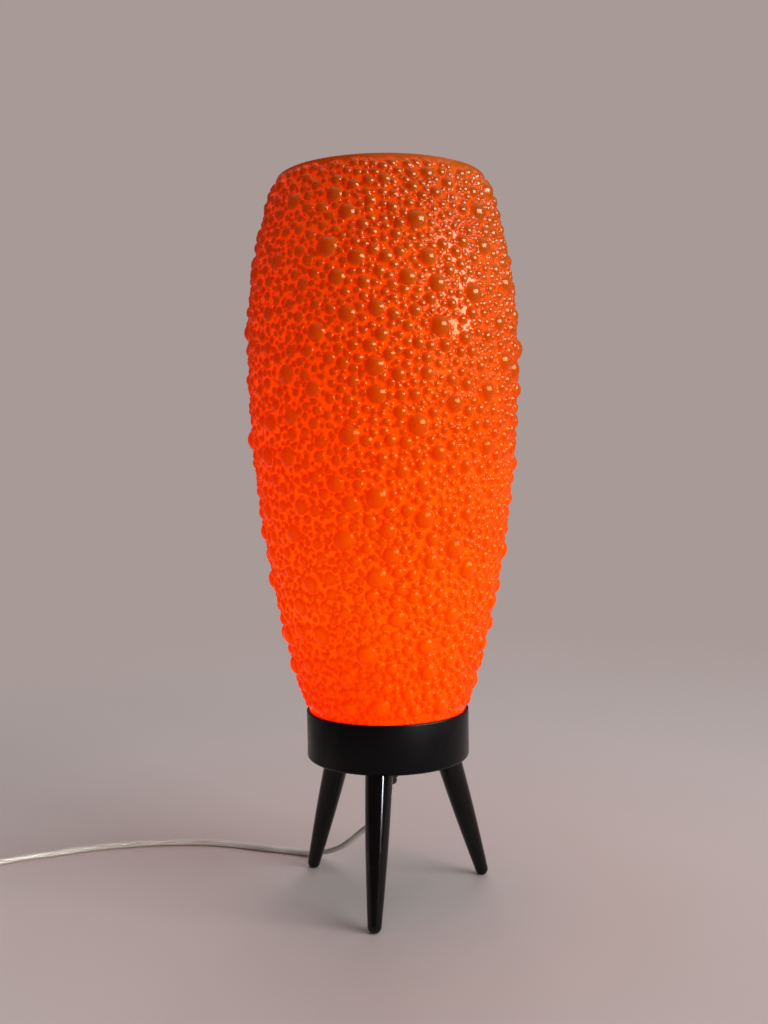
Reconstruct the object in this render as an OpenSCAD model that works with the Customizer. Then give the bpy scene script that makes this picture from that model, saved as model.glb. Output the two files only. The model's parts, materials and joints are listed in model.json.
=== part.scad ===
// Table lamp with a bubbled, vase-shaped shade on a round drum and three splayed legs.
// The origin is on the floor under the lamp's axis, +Z is up, and the front leg points to -Y.

/* [Legs] */
// Height of the drum's underside above the floor
leg_h = 78; // [70:1:90]
// Distance of each foot from the lamp's axis
foot_r = 58.4; // [54:0.2:62]
// Lean of each leg from upright, in degrees
leg_splay = 17; // [14:0.5:18]
// Leg diameter at the drum
leg_top_d = 15; // [13:0.5:16]
// Leg diameter at the foot
leg_tip_d = 7.5; // [6.5:0.5:9]
// Swell of a leg's side over a straight taper
leg_swell = 0.5; // [0:0.1:0.8]
// Diameter of the flat that each foot stands on
foot_flat_d = 4.4; // [3:0.2:5]
// Turn of the front leg about the axis, in degrees
front_leg_turn = -98.3; // [-105:0.1:-85]

/* [Leg fixings] */
// Diameter of the steel stud in each leg
stud_d = 6; // [5:0.5:7]
// Depth of the stud in its leg
stud_depth = 22; // [16:1:26]
// Stud length that stands past its nut
stud_end = 1.5; // [1:0.5:2]
// Diameter of the washer under each nut
washer_d = 12; // [11:0.5:13]
// Thickness of that washer
washer_t = 1.2; // [0.8:0.1:1.6]
// Width of each nut across its flats
nut_af = 10; // [9:0.5:11]
// Thickness of each nut
nut_t = 5; // [4:0.5:6]

/* [Drum] */
// Outside diameter of the drum
drum_d = 91.6; // [89:0.2:95]
// Height of the drum
drum_h = 27; // [26:0.5:32]
// Thickness of the drum's wall at its rim
drum_wall = 2; // [1.6:0.1:2.4]
// Thickness of the drum's floor
drum_floor_t = 3.5; // [3:0.25:5]
// Rounding of the drum's lower edge
drum_edge_r = 2; // [1:0.25:3]
// Width of the ledge that the shade stands on
ledge_w = 3; // [2.6:0.1:3.4]
// Diameter of the boss round each stud
boss_d = 15.5; // [14:0.5:16]
// Height of each boss along its stud
boss_h = 5; // [4:0.5:6]

/* [Shade] */
// Height of the shade above the drum
shade_h = 295; // [270:5:320]
// Diameter of the bare wall at the belly
belly_d = 147.4; // [138:0.2:156]
// Height of the belly above the drum
belly_h = 200; // [185:5:215]
// Diameter of the bare wall just above the drum
shade_foot_d = 88.4; // [88:0.2:90]
// Diameter of the wall at the top rim
shade_top_d = 115; // [105:1:125]
// Thickness of the shade's wall
shade_wall = 2.2; // [1.6:0.1:2.6]
// Depth of the shade's collar inside the drum
collar_depth = 11; // [8:0.5:12]
// Gap between the collar and the drum, all round
collar_gap = 0.3; // [0.25:0.05:0.4]
// Gap between the shade's shoulder and the drum's rim
shoulder_gap = 0.3; // [0.2:0.1:0.5]

/* [Bubbles] */
// Base radius of the smallest large bubble
large_lo = 4.6; // [4.4:0.1:5]
// Base radius of the largest bubble
large_hi = 6.3; // [5.6:0.1:6.8]
// Base radius of the smallest middling bubble
middling_lo = 3; // [2.9:0.1:3.4]
// Base radius of the largest middling bubble
middling_hi = 4.1; // [3.8:0.1:4.4]
// Base radius of the smallest small bubble
small_lo = 2.2; // [2.1:0.1:2.6]
// Base radius of the largest small bubble
small_hi = 3; // [2.8:0.1:3.2]
// Height of a bubble for each millimetre of its base radius
bubble_rise = 0.6; // [0.5:0.05:0.7]
// Depth of a bubble's base under the wall's surface
bubble_sink = 0.5; // [0.45:0.05:0.7]
// Least gap between two large bubbles
large_gap = 3; // [2:0.5:6]
// Least gap between any other two bubbles
bubble_gap = 0.25; // [0.2:0.05:0.6]
// Places tried for a large bubble
large_tries = 260; // [200:20:300]
// Places tried for a middling bubble
middling_tries = 2200; // [400:100:2400]
// Places tried for a small bubble
small_tries = 4000; // [400:100:4200]
// Plain band below the top rim
top_band = 4.5; // [3:0.5:8]
// Plain band above the drum
foot_band = 3.5; // [3:0.5:8]

/* [Lampholder] */
// Outside diameter of the lampholder
holder_d = 39; // [38:0.5:41]
// Wall of the lampholder
holder_wall = 2.5; // [2:0.1:2.6]
// Height of the lampholder's cap
holder_cap_h = 20; // [19:0.5:22]
// Height of the lampholder's skirt above its cap
holder_skirt_h = 38; // [37:0.5:40]
// Height of the porcelain insert
insert_h = 11; // [10:0.5:12]
// Depth of the insert in the cap
insert_seat = 3; // [2.5:0.25:3.5]
// Inside diameter of the screw shell
socket_d = 27; // [26.8:0.1:27.4]
// Thickness of the screw shell
socket_t = 0.6; // [0.5:0.1:0.8]
// Length of the screw shell
socket_h = 26; // [24:0.5:28]
// Diameter of the hollow nipple through the drum
nipple_d = 10; // [9.5:0.25:10.5]
// Bore of the nipple
nipple_bore = 7.2; // [6.8:0.1:7.6]
// Working clearance between parts that fit together
fit_gap = 0.15; // [0.1:0.05:0.2]

/* [Bulb] */
// Diameter of the bulb's globe
bulb_d = 60; // [50:1:62]
// Length of the bulb from its contact to its top
bulb_len = 105; // [98:1:112]
// Diameter of the bulb's screw cap
bulb_cap_d = 26.2; // [26:0.05:26.4]
// Thickness of the bulb's glass
glass_t = 0.7; // [0.5:0.1:1]
// Gap between the bulb's contact and the spring tongue
contact_gap = 0.3; // [0.2:0.1:0.5]

/* [Cord] */
// Width of the flat cord
cord_w = 5.4; // [5:0.1:5.6]
// Thickness of the flat cord
cord_t = 3.2; // [3:0.1:3.3]
// Depth of the cord grip below the drum's underside
grip_drop = 16.5; // [13:0.5:20]
// Diameter of the grip's flange
grip_flange_d = 18; // [16:0.5:20]
// Diameter of the grip at its lower end
grip_tip_d = 8.8; // [8.4:0.2:9.6]
// Turns in the put-away coil
coil_turns = 6.25; // [4.25:1:6.25]
// Radius of the coil's outer turn
coil_r = 38.5; // [36:0.5:40]
// Gap between neighbouring turns
turn_gap = 0.6; // [0.5:0.05:0.8]
// Width of the tie round the coil
tie_w = 5; // [4:0.5:7]
// Thickness of the tie
tie_t = 0.8; // [0.6:0.1:1]

/* [Cord switch] */
// Length of the cord switch
switch_l = 62; // [58:1:66]
// Width of the switch at its middle
switch_w = 27; // [26:0.5:28]
// Width of the switch at its ends
switch_end_w = 16; // [15:0.5:17]
// Height of the lower shell
switch_low_h = 9; // [9:0.25:9.5]
// Height of the upper shell
switch_top_h = 9; // [9:0.25:10]
// Wall of both shells
switch_wall = 2; // [1.6:0.1:2.2]
// Radius of the rocker's round ends about its pivot
rocker_r = 9.4; // [9:0.1:9.8]
// Width of the rocker
rocker_w = 11; // [10:0.25:11.5]
// Tilt of the rocker each way, in degrees
rocker_tilt = 10; // [8:0.5:11]
// Diameter of the rocker's pivot
pivot_d = 3; // [2.6:0.1:3.2]
// Gap round the rocker in its opening
rocker_gap = 0.4; // [0.35:0.05:0.6]

/* [Plug] */
// Length of the plug's body
plug_l = 36; // [34:0.5:38]
// Width of the plug at its face
plug_w = 35; // [33:0.5:36]
// Thickness of the plug at its face
plug_t = 13.7; // [13:0.1:14]
// Distance between the two pins
pin_pitch = 19; // [18:0.1:19.2]
// Diameter of the pins' bare ends
pin_d = 4; // [3.9:0.05:4.1]
// Length of the pins past the plug's face
pin_l = 19; // [18:0.5:20]
// Length of the sleeve on each pin
sleeve_l = 10; // [9:0.5:11]
// Diameter of that sleeve
sleeve_d = 3.5; // [3.4:0.05:3.6]

/* [Hidden] */
$fn = 96;
eps = 0.01;

// Legs
leg_tip_r = leg_tip_d / 2;
foot_ball_z = sqrt(pow(leg_tip_r, 2) - pow(foot_flat_d / 2, 2));
leg_run = (leg_h - foot_ball_z) / cos(leg_splay);
floor_run = (leg_h + drum_floor_t - foot_ball_z) / cos(leg_splay);
boss_run = floor_run + boss_h;
leg_trim = 20;
leg_cut = 6 * foot_r;
leg_turns = [front_leg_turn, front_leg_turn + 120, front_leg_turn + 240];

// Drum
drum_r = drum_d / 2;
rim_z = leg_h + drum_h;
floor_z = leg_h + drum_floor_t;
drum_bore_r = drum_r - drum_wall;
ledge_z = rim_z - collar_depth;

// Shade: two arcs that meet upright at the belly
belly_r = belly_d / 2;
belly_z = rim_z + belly_h;
top_z = rim_z + shade_h;
shoulder_z = rim_z + shoulder_gap;
collar_r = drum_bore_r - collar_gap;
low_rise = belly_z - shoulder_z;
low_draw = belly_r - shade_foot_d / 2;
low_arc_r = (pow(low_rise, 2) + pow(low_draw, 2)) / (2 * low_draw);
up_rise = top_z - belly_z;
up_draw = belly_r - shade_top_d / 2;
up_arc_r = (pow(up_rise, 2) + pow(up_draw, 2)) / (2 * up_draw);
arc_facets = 720;
bubble_facets = 24;

// Lampholder and bulb
nipple_r = nipple_d / 2;
nipple_in_grip = 6;
nipple_in_cap = 7.5;
holder_r = holder_d / 2;
cap_neck_r = 9;
cap_neck_h = 5;
cap_flare_h = 12;
cap_z = floor_z;
skirt_z = cap_z + holder_cap_h;
insert_z = skirt_z - insert_seat;
insert_top = insert_z + insert_h;
insert_r = holder_r - holder_wall - fit_gap;
socket_r = socket_d / 2;
tongue_h = 3.2;
tongue_t = 0.5;
tongue_w = 5;
terminal_r = 3;
terminal_h = 2.2;
terminal_x = 9;
bulb_z = insert_top + tongue_h + contact_gap;
bulb_r = bulb_d / 2;
globe_z = bulb_z + bulb_len - bulb_r;
contact_h = 1.6;
contact_r = 4.6;
insulator_h = 3;
cap_shell_z = bulb_z + contact_h + insulator_h;
cap_shell_h = 19.5;
cap_shell_t = 0.5;
bulb_cap_r = bulb_cap_d / 2;
neck_r = bulb_cap_r - cap_shell_t - fit_gap;
neck_z = cap_shell_z + 9;
shoulder_r = 14.6;
glass_shoulder_z = cap_shell_z + cap_shell_h + 6;
stem_r = 3;
stem_top = globe_z - 21;
filament_r = 13;
filament_z = globe_z - 3;
wire_r = 0.8;
lead_r = 0.4;

// Cord grip
grip_z = leg_h - grip_drop;
grip_flange_h = 3;
grip_cord_r = cord_w / 2 + 0.3;
grip_screw_r = 1.75;
grip_screw_z = grip_z + 6;
inner_cord_top = cap_z + 9.5;

// Route of the cord from the grip to the switch, as it lies in life
cord_route = [
    [0, 0, grip_z], [0, 0, grip_z - 3], [-0.5, 0.5, 52.5], [-2, 2.5, 46.5], [-4.5, 5.5, 41.5],
    [-8, 9.5, 36.5], [-12, 14.5, 31.5], [-16.5, 19.5, 26.5], [-21.5, 25.5, 20.5], [-27.5, 32.5, 14],
    [-33, 39, 9.5], [-38.5, 45.5, 6], [-45, 51.5, 3.2], [-53, 56, 2], [-63, 60, 1.7], [-83, 67, 1.7],
    [-103, 74, 1.7], [-123, 78, 1.7], [-155, 77.5, 1.7], [-185, 71.5, 1.7], [-208, 62.5, 1.7],
    [-225, 56, 1.7], [-241, 47.5, 1.7], [-250, 41.5, 1.8], [-257.5, 34, 2.4], [-263, 25, 3.8],
    [-265.6, 17.5, 5], [-266, 12, 5.5]
];
exit_turn = 130;

// The switch lies along -Y at the end of that route
switch_at = [-266, 12 - switch_l / 2, 0];
switch_cord_z = 5.5;

// The put-away coil lies beside the switch, two layers deep, on edge
coil_at = [-324, -43];
coil_step = cord_t + turn_gap;
coil_half = coil_turns / 2;
coil_low_z = tie_t + 0.15 + cord_w / 2;
coil_high_z = coil_low_z + cord_w + turn_gap;
coil_start = -90;
rings_per_turn = 24;
lead_in = [
    [-266, switch_at.y - switch_l / 2, switch_cord_z, 0], [-266, switch_at.y - switch_l / 2 - 6, 5, 0],
    [-267, -64, 4.2, 20], [-271, -71.5, 3.8, 40], [-279, -78, 3.7, 60], [-290, -81, 3.7, 80],
    [-304, coil_at.y - coil_r, coil_low_z, 90], [coil_at.x, coil_at.y - coil_r, coil_low_z, 90]
];
plug_at = [coil_at.x - coil_r, -4, plug_t / 2];
lead_out = [
    [coil_at.x - coil_r, coil_at.y, coil_high_z, 90],
    [coil_at.x - coil_r, coil_at.y + 9, coil_high_z - 0.2, 80],
    [plug_at.x, plug_at.y - 20, 8, 45], [plug_at.x, plug_at.y - 12, plug_at.z + 0.2, 10],
    [plug_at.x, plug_at.y - 6, plug_at.z, 0], [plug_at.x, plug_at.y, plug_at.z, 0]
];

// Cord switch
pivot_r = pivot_d / 2;
switch_top_z = switch_low_h + switch_top_h;
pivot_z = switch_top_z - 3.5;
lug_t = 2;
lug_x = 3;
rocker_top = 5.2;
rocker_dip = 3.6;
rocker_under = -0.5;
stem_x = 2.5;
stem_under = -3.5;
bridge_t = 0.5;
bridge_x = 7;
bridge_w = 8;
post_r = 1.3;
post_x = 6;
post_y = 2.5;
post_gap = 0.35;
pivot_play = 0.05;
post_top = pivot_z + stem_under - bridge_t - bridge_x * sin(rocker_tilt) - post_gap;
terminal_at = 16;
terminal_size = [7, 8, 5];
switch_screw_x = 25;
switch_screw_r = 1.4;
switch_screw_up = 5;
switch_head_r = 2.6;
switch_head_h = 1.6;
switch_boss_r = 3;

// Plug
pin_core_r = 1.5;
pin_in_body = 8;
plug_tail_w = 11;
plug_tail_t = 8;

// Shared shapes

// Flat outline with round ends, as the cord is cut across
module flat_section(w, t) {
    square([w - t, t], center = true);
    translate([(w - t) / 2, 0]) circle(d = t);
    translate([(t - w) / 2, 0]) circle(d = t);
}

// Straight round rod between two points
module rod(from, to, r) {
    d = to - from;
    translate(from)
        rotate([0, acos(d.z / norm(d)), atan2(d.y, d.x)])
            cylinder(r = r, h = norm(d));
}

// Tube of revolution
module sleeve(outer, inner, h) {
    rotate_extrude() translate([inner, 0]) square([outer - inner, h]);
}

// Frame of one leg: its axis is local +Z, from the middle of the foot's ball
module on_leg(turn) {
    rotate([0, 0, turn]) translate([foot_r, 0, foot_ball_z]) rotate([0, -leg_splay, 0]) children();
}

// Legs

function leg_r(s) = let (part = s / leg_run)
    leg_tip_r + (leg_top_d / 2 - leg_tip_r) * part + leg_swell * sin(180 * min(part, 1));

module leg_bar() {
    steps = 8;
    rotate_extrude() polygon(concat(
        [[0, 0]],
        [for (i = [0 : steps]) [leg_r(leg_run * i / steps), leg_run * i / steps]],
        [[leg_top_d / 2, leg_run + leg_trim], [0, leg_run + leg_trim]]
    ));
    sphere(r = leg_tip_r);
}

module leg(turn) {
    color("#141414") difference() {
        on_leg(turn) leg_bar();
        translate([0, 0, leg_h + leg_trim]) cube([leg_cut, leg_cut, 2 * leg_trim], center = true);
        translate([0, 0, -leg_trim]) cube([leg_cut, leg_cut, 2 * leg_trim], center = true);
        on_leg(turn) translate([0, 0, leg_run - stud_depth - fit_gap])
            cylinder(d = stud_d + 2 * fit_gap, h = stud_depth + leg_trim);
    }
}

module leg_front() { leg(leg_turns[0]); }
module leg_right() { leg(leg_turns[1]); }
module leg_left() { leg(leg_turns[2]); }

module leg_studs() {
    color("silver") for (turn = leg_turns) on_leg(turn)
        translate([0, 0, leg_run - stud_depth])
            cylinder(d = stud_d, h = boss_run + washer_t + nut_t + stud_end - leg_run + stud_depth);
}

module leg_washers() {
    color("silver") for (turn = leg_turns) on_leg(turn)
        translate([0, 0, boss_run]) sleeve(washer_d / 2, stud_d / 2 + fit_gap, washer_t);
}

module leg_nuts() {
    color("silver") for (turn = leg_turns)
        on_leg(turn) translate([0, 0, boss_run + washer_t]) difference() {
            cylinder(r = nut_af / 2 / cos(30), h = nut_t, $fn = 6);
            translate([0, 0, -1]) cylinder(d = stud_d + 2 * fit_gap, h = nut_t + 2);
        }
}

// Drum

module drum_cup() {
    rotate_extrude() difference() {
        union() {
            translate([0, leg_h + drum_edge_r]) square([drum_r, drum_h - drum_edge_r]);
            translate([0, leg_h]) square([drum_r - drum_edge_r, drum_edge_r + eps]);
            translate([drum_r - drum_edge_r, leg_h + drum_edge_r]) circle(r = drum_edge_r);
        }
        translate([0, floor_z]) square([drum_bore_r - ledge_w, drum_h]);
        translate([0, ledge_z]) square([drum_bore_r, drum_h]);
        translate([-drum_r, leg_h]) square([drum_r, drum_h]);
    }
}

module base_drum() {
    color("#1c1c1c") difference() {
        union() {
            drum_cup();
            for (turn = leg_turns) intersection() {
                on_leg(turn) translate([0, 0, leg_run - boss_d])
                    cylinder(d = boss_d, h = boss_run - leg_run + boss_d);
                translate([0, 0, floor_z - drum_floor_t / 2])
                    cylinder(r = drum_bore_r - ledge_w / 2, h = drum_h);
            }
        }
        for (turn = leg_turns) on_leg(turn) translate([0, 0, leg_run - boss_d])
            cylinder(d = stud_d + 2 * fit_gap, h = boss_run - leg_run + 2 * boss_d);
        translate([0, 0, leg_h - 1]) cylinder(r = nipple_r + 1.5 + fit_gap, h = drum_floor_t + 2);
    }
}

// Shade

function wall_arc(z) = z < belly_z ? low_arc_r : up_arc_r;
function wall_r(z) = belly_r - wall_arc(z) + sqrt(pow(wall_arc(z), 2) - pow(z - belly_z, 2));
function wall_tilt(z) = asin((z - belly_z) / wall_arc(z));

// Half outline of the shade, drawn in from the outer wall by the given amount
module shade_outline(inset) {
    intersection() {
        translate([belly_r - low_arc_r, belly_z]) circle(r = low_arc_r - inset, $fn = arc_facets);
        translate([0, shoulder_z]) square([belly_d, low_rise]);
    }
    intersection() {
        translate([belly_r - up_arc_r, belly_z]) circle(r = up_arc_r - inset, $fn = arc_facets);
        translate([0, belly_z - eps]) square([belly_d, up_rise + eps]);
    }
}

module shade() {
    color("#f2500c", 0.9) rotate_extrude() difference() {
        union() {
            shade_outline(0);
            translate([0, ledge_z]) square([collar_r, shoulder_z - ledge_z + eps]);
        }
        shade_outline(shade_wall);
        translate([0, ledge_z - 1]) square([collar_r - shade_wall, shoulder_z - ledge_z + 1 + eps]);
        translate([0, top_z - 1]) square([shade_top_d / 2 - shade_wall, 2]);
    }
}

// The bubbles are scattered by a seeded draw. Each is as large as its draw and its neighbours allow, and a place
// with too little room is passed over.
function draw(seed) = (seed * 48271) % 2147483647;
function share(seed) = seed / 2147483647;
function wall_point(turn, z) = [wall_r(z) * cos(turn), wall_r(z) * sin(turn), z];
function candidate(seed, lo, hi, gap, all) =
    let (
        first = draw(seed),
        second = draw(first),
        turn = 360 * share(first),
        wish = lo + (hi - lo) * share(draw(second)),
        z_lo = shoulder_z + foot_band,
        z_hi = top_z - top_band,
        z = z_lo + lo + (z_hi - z_lo - 2 * lo) * share(second),
        place = wall_point(turn, z),
        rooms = [for (kept = all) norm(place - kept[0]) - kept[1] - gap]
    ) [place, min(concat([wish, z - z_lo, z_hi - z], rooms)), turn, z];
function scatter(tries, start, lo, hi, gap, kept) = [
    for (
        i = 0, seed = start, all = kept;
        i <= tries;
        c = candidate(seed, lo, hi, gap, all),
        all = c[1] >= lo ? concat(all, [c]) : all,
        seed = draw(draw(draw(seed))),
        i = i + 1
    ) if (i == tries) each all
];

// A bubble is the cap of a ball, seated a little below the wall's surface
module bubble(a) {
    cap_h = bubble_rise * a + bubble_sink;
    ball_r = (pow(a, 2) + pow(cap_h, 2)) / (2 * cap_h);
    translate([0, 0, -bubble_sink]) rotate_extrude($fn = bubble_facets) intersection() {
        translate([0, cap_h - ball_r]) circle(r = ball_r, $fn = bubble_facets);
        square([a + ball_r, cap_h]);
    }
}

module shade_bubbles() {
    large = scatter(large_tries, 4711, large_lo, large_hi, large_gap, []);
    middling = scatter(middling_tries, 1234567, middling_lo, middling_hi, bubble_gap, large);
    bubbles = scatter(small_tries, 999, small_lo, small_hi, bubble_gap, middling);
    color("#f0440a") for (b = bubbles)
        translate(b[0]) rotate([0, 90 - wall_tilt(b[3]), b[2]]) bubble(b[1]);
}

// Lampholder

module nipple() {
    color("silver") translate([0, 0, leg_h - nipple_in_grip])
        sleeve(nipple_r, nipple_bore / 2, nipple_in_grip + drum_floor_t + nipple_in_cap);
}

module holder_cap() {
    bore_r = nipple_r + fit_gap;
    room_r = holder_r - 2 * holder_wall;
    color("#26211d") translate([0, 0, cap_z]) rotate_extrude() polygon([
        [bore_r, 0], [cap_neck_r, 0], [cap_neck_r, cap_neck_h], [holder_r, cap_flare_h],
        [holder_r, holder_cap_h], [holder_r - holder_wall, holder_cap_h],
        [holder_r - holder_wall, holder_cap_h - insert_seat], [room_r, holder_cap_h - insert_seat],
        [room_r, cap_flare_h + 1.4], [bore_r + 3, nipple_in_cap], [bore_r, nipple_in_cap]
    ]);
}

module holder_skirt() {
    bore_r = socket_r + socket_t + fit_gap;
    bead_r = 1;
    color("#26211d") translate([0, 0, skirt_z]) rotate_extrude() difference() {
        union() {
            square([holder_r, holder_skirt_h]);
            for (up = [6, 10, 14, holder_skirt_h - bead_r])
                translate([holder_r - 0.3, up]) circle(r = bead_r, $fn = 48);
        }
        translate([-1, -1]) square([bore_r + 1, holder_skirt_h + 2]);
        translate([0, -1]) square([holder_r - holder_wall, insert_h - insert_seat + 1]);
    }
}

module holder_insert() {
    color("#e8e4da") translate([0, 0, insert_z]) difference() {
        cylinder(r = insert_r, h = insert_h);
        for (side = [-1, 1]) translate([side * terminal_x, 0, -1]) cylinder(r = 1.7, h = 6);
    }
}

module holder_shell() {
    flange_r = 9.5;
    color("#c9a24a") translate([0, 0, insert_top]) rotate_extrude() {
        translate([socket_r, 0]) square([socket_t, socket_h]);
        translate([flange_r, 0]) square([socket_r + socket_t - flange_r, socket_t]);
    }
}

module holder_tongue() {
    color("#c08a3e") translate([0, 0, insert_top]) rotate([90, 0, 0]) translate([0, 0, -tongue_w / 2])
        linear_extrude(tongue_w) polygon([
            [-7, 0], [-7, tongue_t], [-5.5, tongue_t], [-1, tongue_h], [3, tongue_h],
            [3, tongue_h - tongue_t], [-0.8, tongue_h - tongue_t], [-5.3, 0]
        ]);
}

module terminal_screws() {
    color("#c9a24a") for (side = [-1, 1]) translate([side * terminal_x, 0, insert_z - terminal_h]) {
        cylinder(r = terminal_r, h = terminal_h);
        cylinder(r = 1.7 - fit_gap, h = terminal_h + 4);
    }
}

module lead_wires() {
    end_z = insert_z - terminal_h - wire_r - fit_gap;
    color("#4a6fa5") for (side = [-1, 1])
        rod([side * 1.3, 0, inner_cord_top + 0.8], [side * (terminal_x - 0.5), 0, end_z], wire_r);
}

// Bulb

// Half outline of the bulb's glass: a globe and a straight shoulder that runs into it
module bulb_outline(inset) {
    r = bulb_r - inset;
    corner = [shoulder_r - inset, glass_shoulder_z];
    away = corner - [0, globe_z];
    touch = atan2(away.y, away.x) + acos(r / norm(away));
    meet = [r * cos(touch), globe_z + r * sin(touch)];
    intersection() {
        union() {
            translate([0, globe_z]) circle(r = r);
            polygon([
                [0, neck_z + inset], [neck_r - inset, neck_z + inset],
                [neck_r - inset, cap_shell_z + cap_shell_h], corner, meet, [0, meet.y]
            ]);
        }
        translate([0, neck_z]) square([bulb_d, bulb_len]);
    }
}

module bulb_glass() {
    color("#fff4dc", 0.5) rotate_extrude() difference() {
        bulb_outline(0);
        bulb_outline(glass_t);
    }
}

module bulb_cap() {
    floor_r = 9;
    color("#d8d8d4") translate([0, 0, cap_shell_z]) rotate_extrude() {
        translate([bulb_cap_r - cap_shell_t, 0]) square([cap_shell_t, cap_shell_h]);
        translate([floor_r, 0]) square([bulb_cap_r - floor_r, cap_shell_t]);
    }
}

module bulb_insulator() {
    top_r = 11.6;
    color("#20242c") translate([0, 0, bulb_z + contact_h])
        cylinder(r1 = contact_r + 0.6, r2 = top_r, h = insulator_h);
}

module bulb_contact() {
    color("#c9c9c4") translate([0, 0, bulb_z])
        cylinder(r1 = contact_r - 1, r2 = contact_r, h = contact_h);
}

module bulb_stem() {
    flare_h = 8;
    foot_z = neck_z + glass_t;
    color("#f4f2ea", 0.6) translate([0, 0, foot_z]) rotate_extrude()
        polygon([[0, 0], [9, 0], [stem_r, flare_h], [stem_r, stem_top - foot_z], [0, stem_top - foot_z]]);
}

module bulb_leads() {
    color("silver") for (side = [-1, 1])
        rod([side * 1.5, 0, stem_top + lead_r], [side * filament_r, 0, filament_z - 2 * lead_r], lead_r);
}

module bulb_filament() {
    color("#ffd27a") translate([0, 0, filament_z])
        rotate_extrude(angle = 180) translate([filament_r, 0]) circle(r = lead_r);
}

// Cord

function unit(v) = v / norm(v);
function lerp(a, b, k) = a + (b - a) * k;

// Smooth curve through a list of points, each span cut into the given number of steps
function curve_point(p, i, k) =
    let (
        a = i > 0 ? p[i - 1] : 2 * p[0] - p[1],
        d = i + 2 < len(p) ? p[i + 2] : 2 * p[i + 1] - p[i],
        b = p[i],
        c = p[i + 1]
    ) b + 0.5 * k * ((c - a) + k * ((2 * a - 5 * b + 4 * c - d) + k * (3 * b - a - 3 * c + d)));
function curve(p, steps) = concat(
    [for (i = [0 : len(p) - 2], j = [0 : steps - 1]) curve_point(p, i, j / steps)],
    [p[len(p) - 1]]
);

// The cord's section, as points round its edge
section_sides = 8;
function section() = [
    for (i = [0 : section_sides - 1])
        let (turn = 360 * (i + 0.5) / section_sides, far = (cord_w - cord_t) / 2)
        [cord_t / 2 * cos(turn) / cos(180 / section_sides) + (cos(turn) > 0 ? far : -far),
         cord_t / 2 * sin(turn) / cos(180 / section_sides)]
];

function place(p) = [p[0], p[1], p[2]];
function heading(p, i) =
    let (d = p[min(i + 1, len(p) - 1)] - p[max(i - 1, 0)], flat = [d[0], d[1]])
    norm(flat) > 0.3 || i >= len(p) - 1 ? unit(flat) : heading(p, i + 1);
function ring(p, i) =
    let (
        along = unit(place(p[min(i + 1, len(p) - 1)]) - place(p[max(i - 1, 0)])),
        h = heading(p, i),
        across = unit([-h[1], h[0], 0] - along * ([-h[1], h[0], 0] * along)),
        up = cross(along, across),
        roll = len(p[i]) > 3 ? p[i][3] : 0,
        wide = across * cos(roll) + up * sin(roll),
        thick = up * cos(roll) - across * sin(roll)
    ) [for (q = section()) place(p[i]) + wide * q.x + thick * q.y];

// Closed tube along a list of points
module swept_cord(p) {
    n = section_sides;
    last = len(p) - 1;
    points = [for (i = [0 : last]) each ring(p, i)];
    sides = [
        for (i = [0 : last - 1], j = [0 : n - 1])
            let (a = i * n + j, b = i * n + (j + 1) % n)
            each [[a, b, b + n], [a, b + n, a + n]]
    ];
    first_end = [for (j = [1 : n - 2]) [0, j + 1, j]];
    far_end = [for (j = [1 : n - 2]) [last * n, last * n + j, last * n + j + 1]];
    polyhedron(points = points, faces = concat(sides, first_end, far_end), convexity = 20);
}

module cord_run() {
    color("#cfcac0") swept_cord(curve(cord_route, 2));
}

// The coil spirals in on the floor, climbs a layer in a half turn, steps out past the climb and spirals out
coil_inner_r = coil_r - coil_step * (coil_half + 0.5);
function ease(k) = k * k * (3 - 2 * k);
function coil_radius(t) =
    t < coil_half + 0.5 ? coil_r - coil_step * t
    : t < coil_half + 1 ? coil_inner_r + 1.5 * coil_step * ease(2 * (t - coil_half - 0.5))
    : coil_r - coil_step * (coil_turns - t);
function coil_height(t) = lerp(coil_low_z, coil_high_z, ease(min(max(2 * (t - coil_half), 0), 1)));
function coil_point(t) =
    let (turn = coil_start - 360 * t, r = coil_radius(t))
    [coil_at.x + r * cos(turn), coil_at.y + r * sin(turn), coil_height(t), 90];
coil_steps = round(coil_turns * rings_per_turn);
function coil_path() = concat(
    curve(lead_in, 2),
    [for (i = [1 : coil_steps - 1]) coil_point(i / rings_per_turn)],
    curve(lead_out, 2)
);

// Least gap between turns that lie beside or on each other, from the points on their edges
function least_gap(p) =
    let (apart = rings_per_turn / 2)
    min([
        for (i = [0 : len(p) - 1 - apart], j = [i + apart : 1 : len(p) - 1])
            if (norm(place(p[i]) - place(p[j])) < 2 * cord_w)
                min([for (a = ring(p, i), b = ring(p, j)) norm(a - b)])
    ]);

module cord_coil() {
    path = coil_path();
    echo(least_gap_between_turns = least_gap(path));
    color("#cfcac0") swept_cord(path);
}

module cord_tie() {
    slack = 0.5;
    inner_r = coil_inner_r - cord_t / 2 - slack;
    outer_r = coil_r + cord_t / 2 + slack;
    tie_h = coil_high_z + cord_w / 2 + slack - tie_t;
    color("#3a3a3a") translate([coil_at.x, coil_at.y, 0]) rotate([90, 0, 0]) translate([0, 0, -tie_w / 2])
        linear_extrude(tie_w) difference() {
            translate([inner_r - tie_t, 0]) square([outer_r - inner_r + 2 * tie_t, tie_h + 2 * tie_t]);
            translate([inner_r, tie_t]) square([outer_r - inner_r, tie_h]);
        }
}

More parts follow.
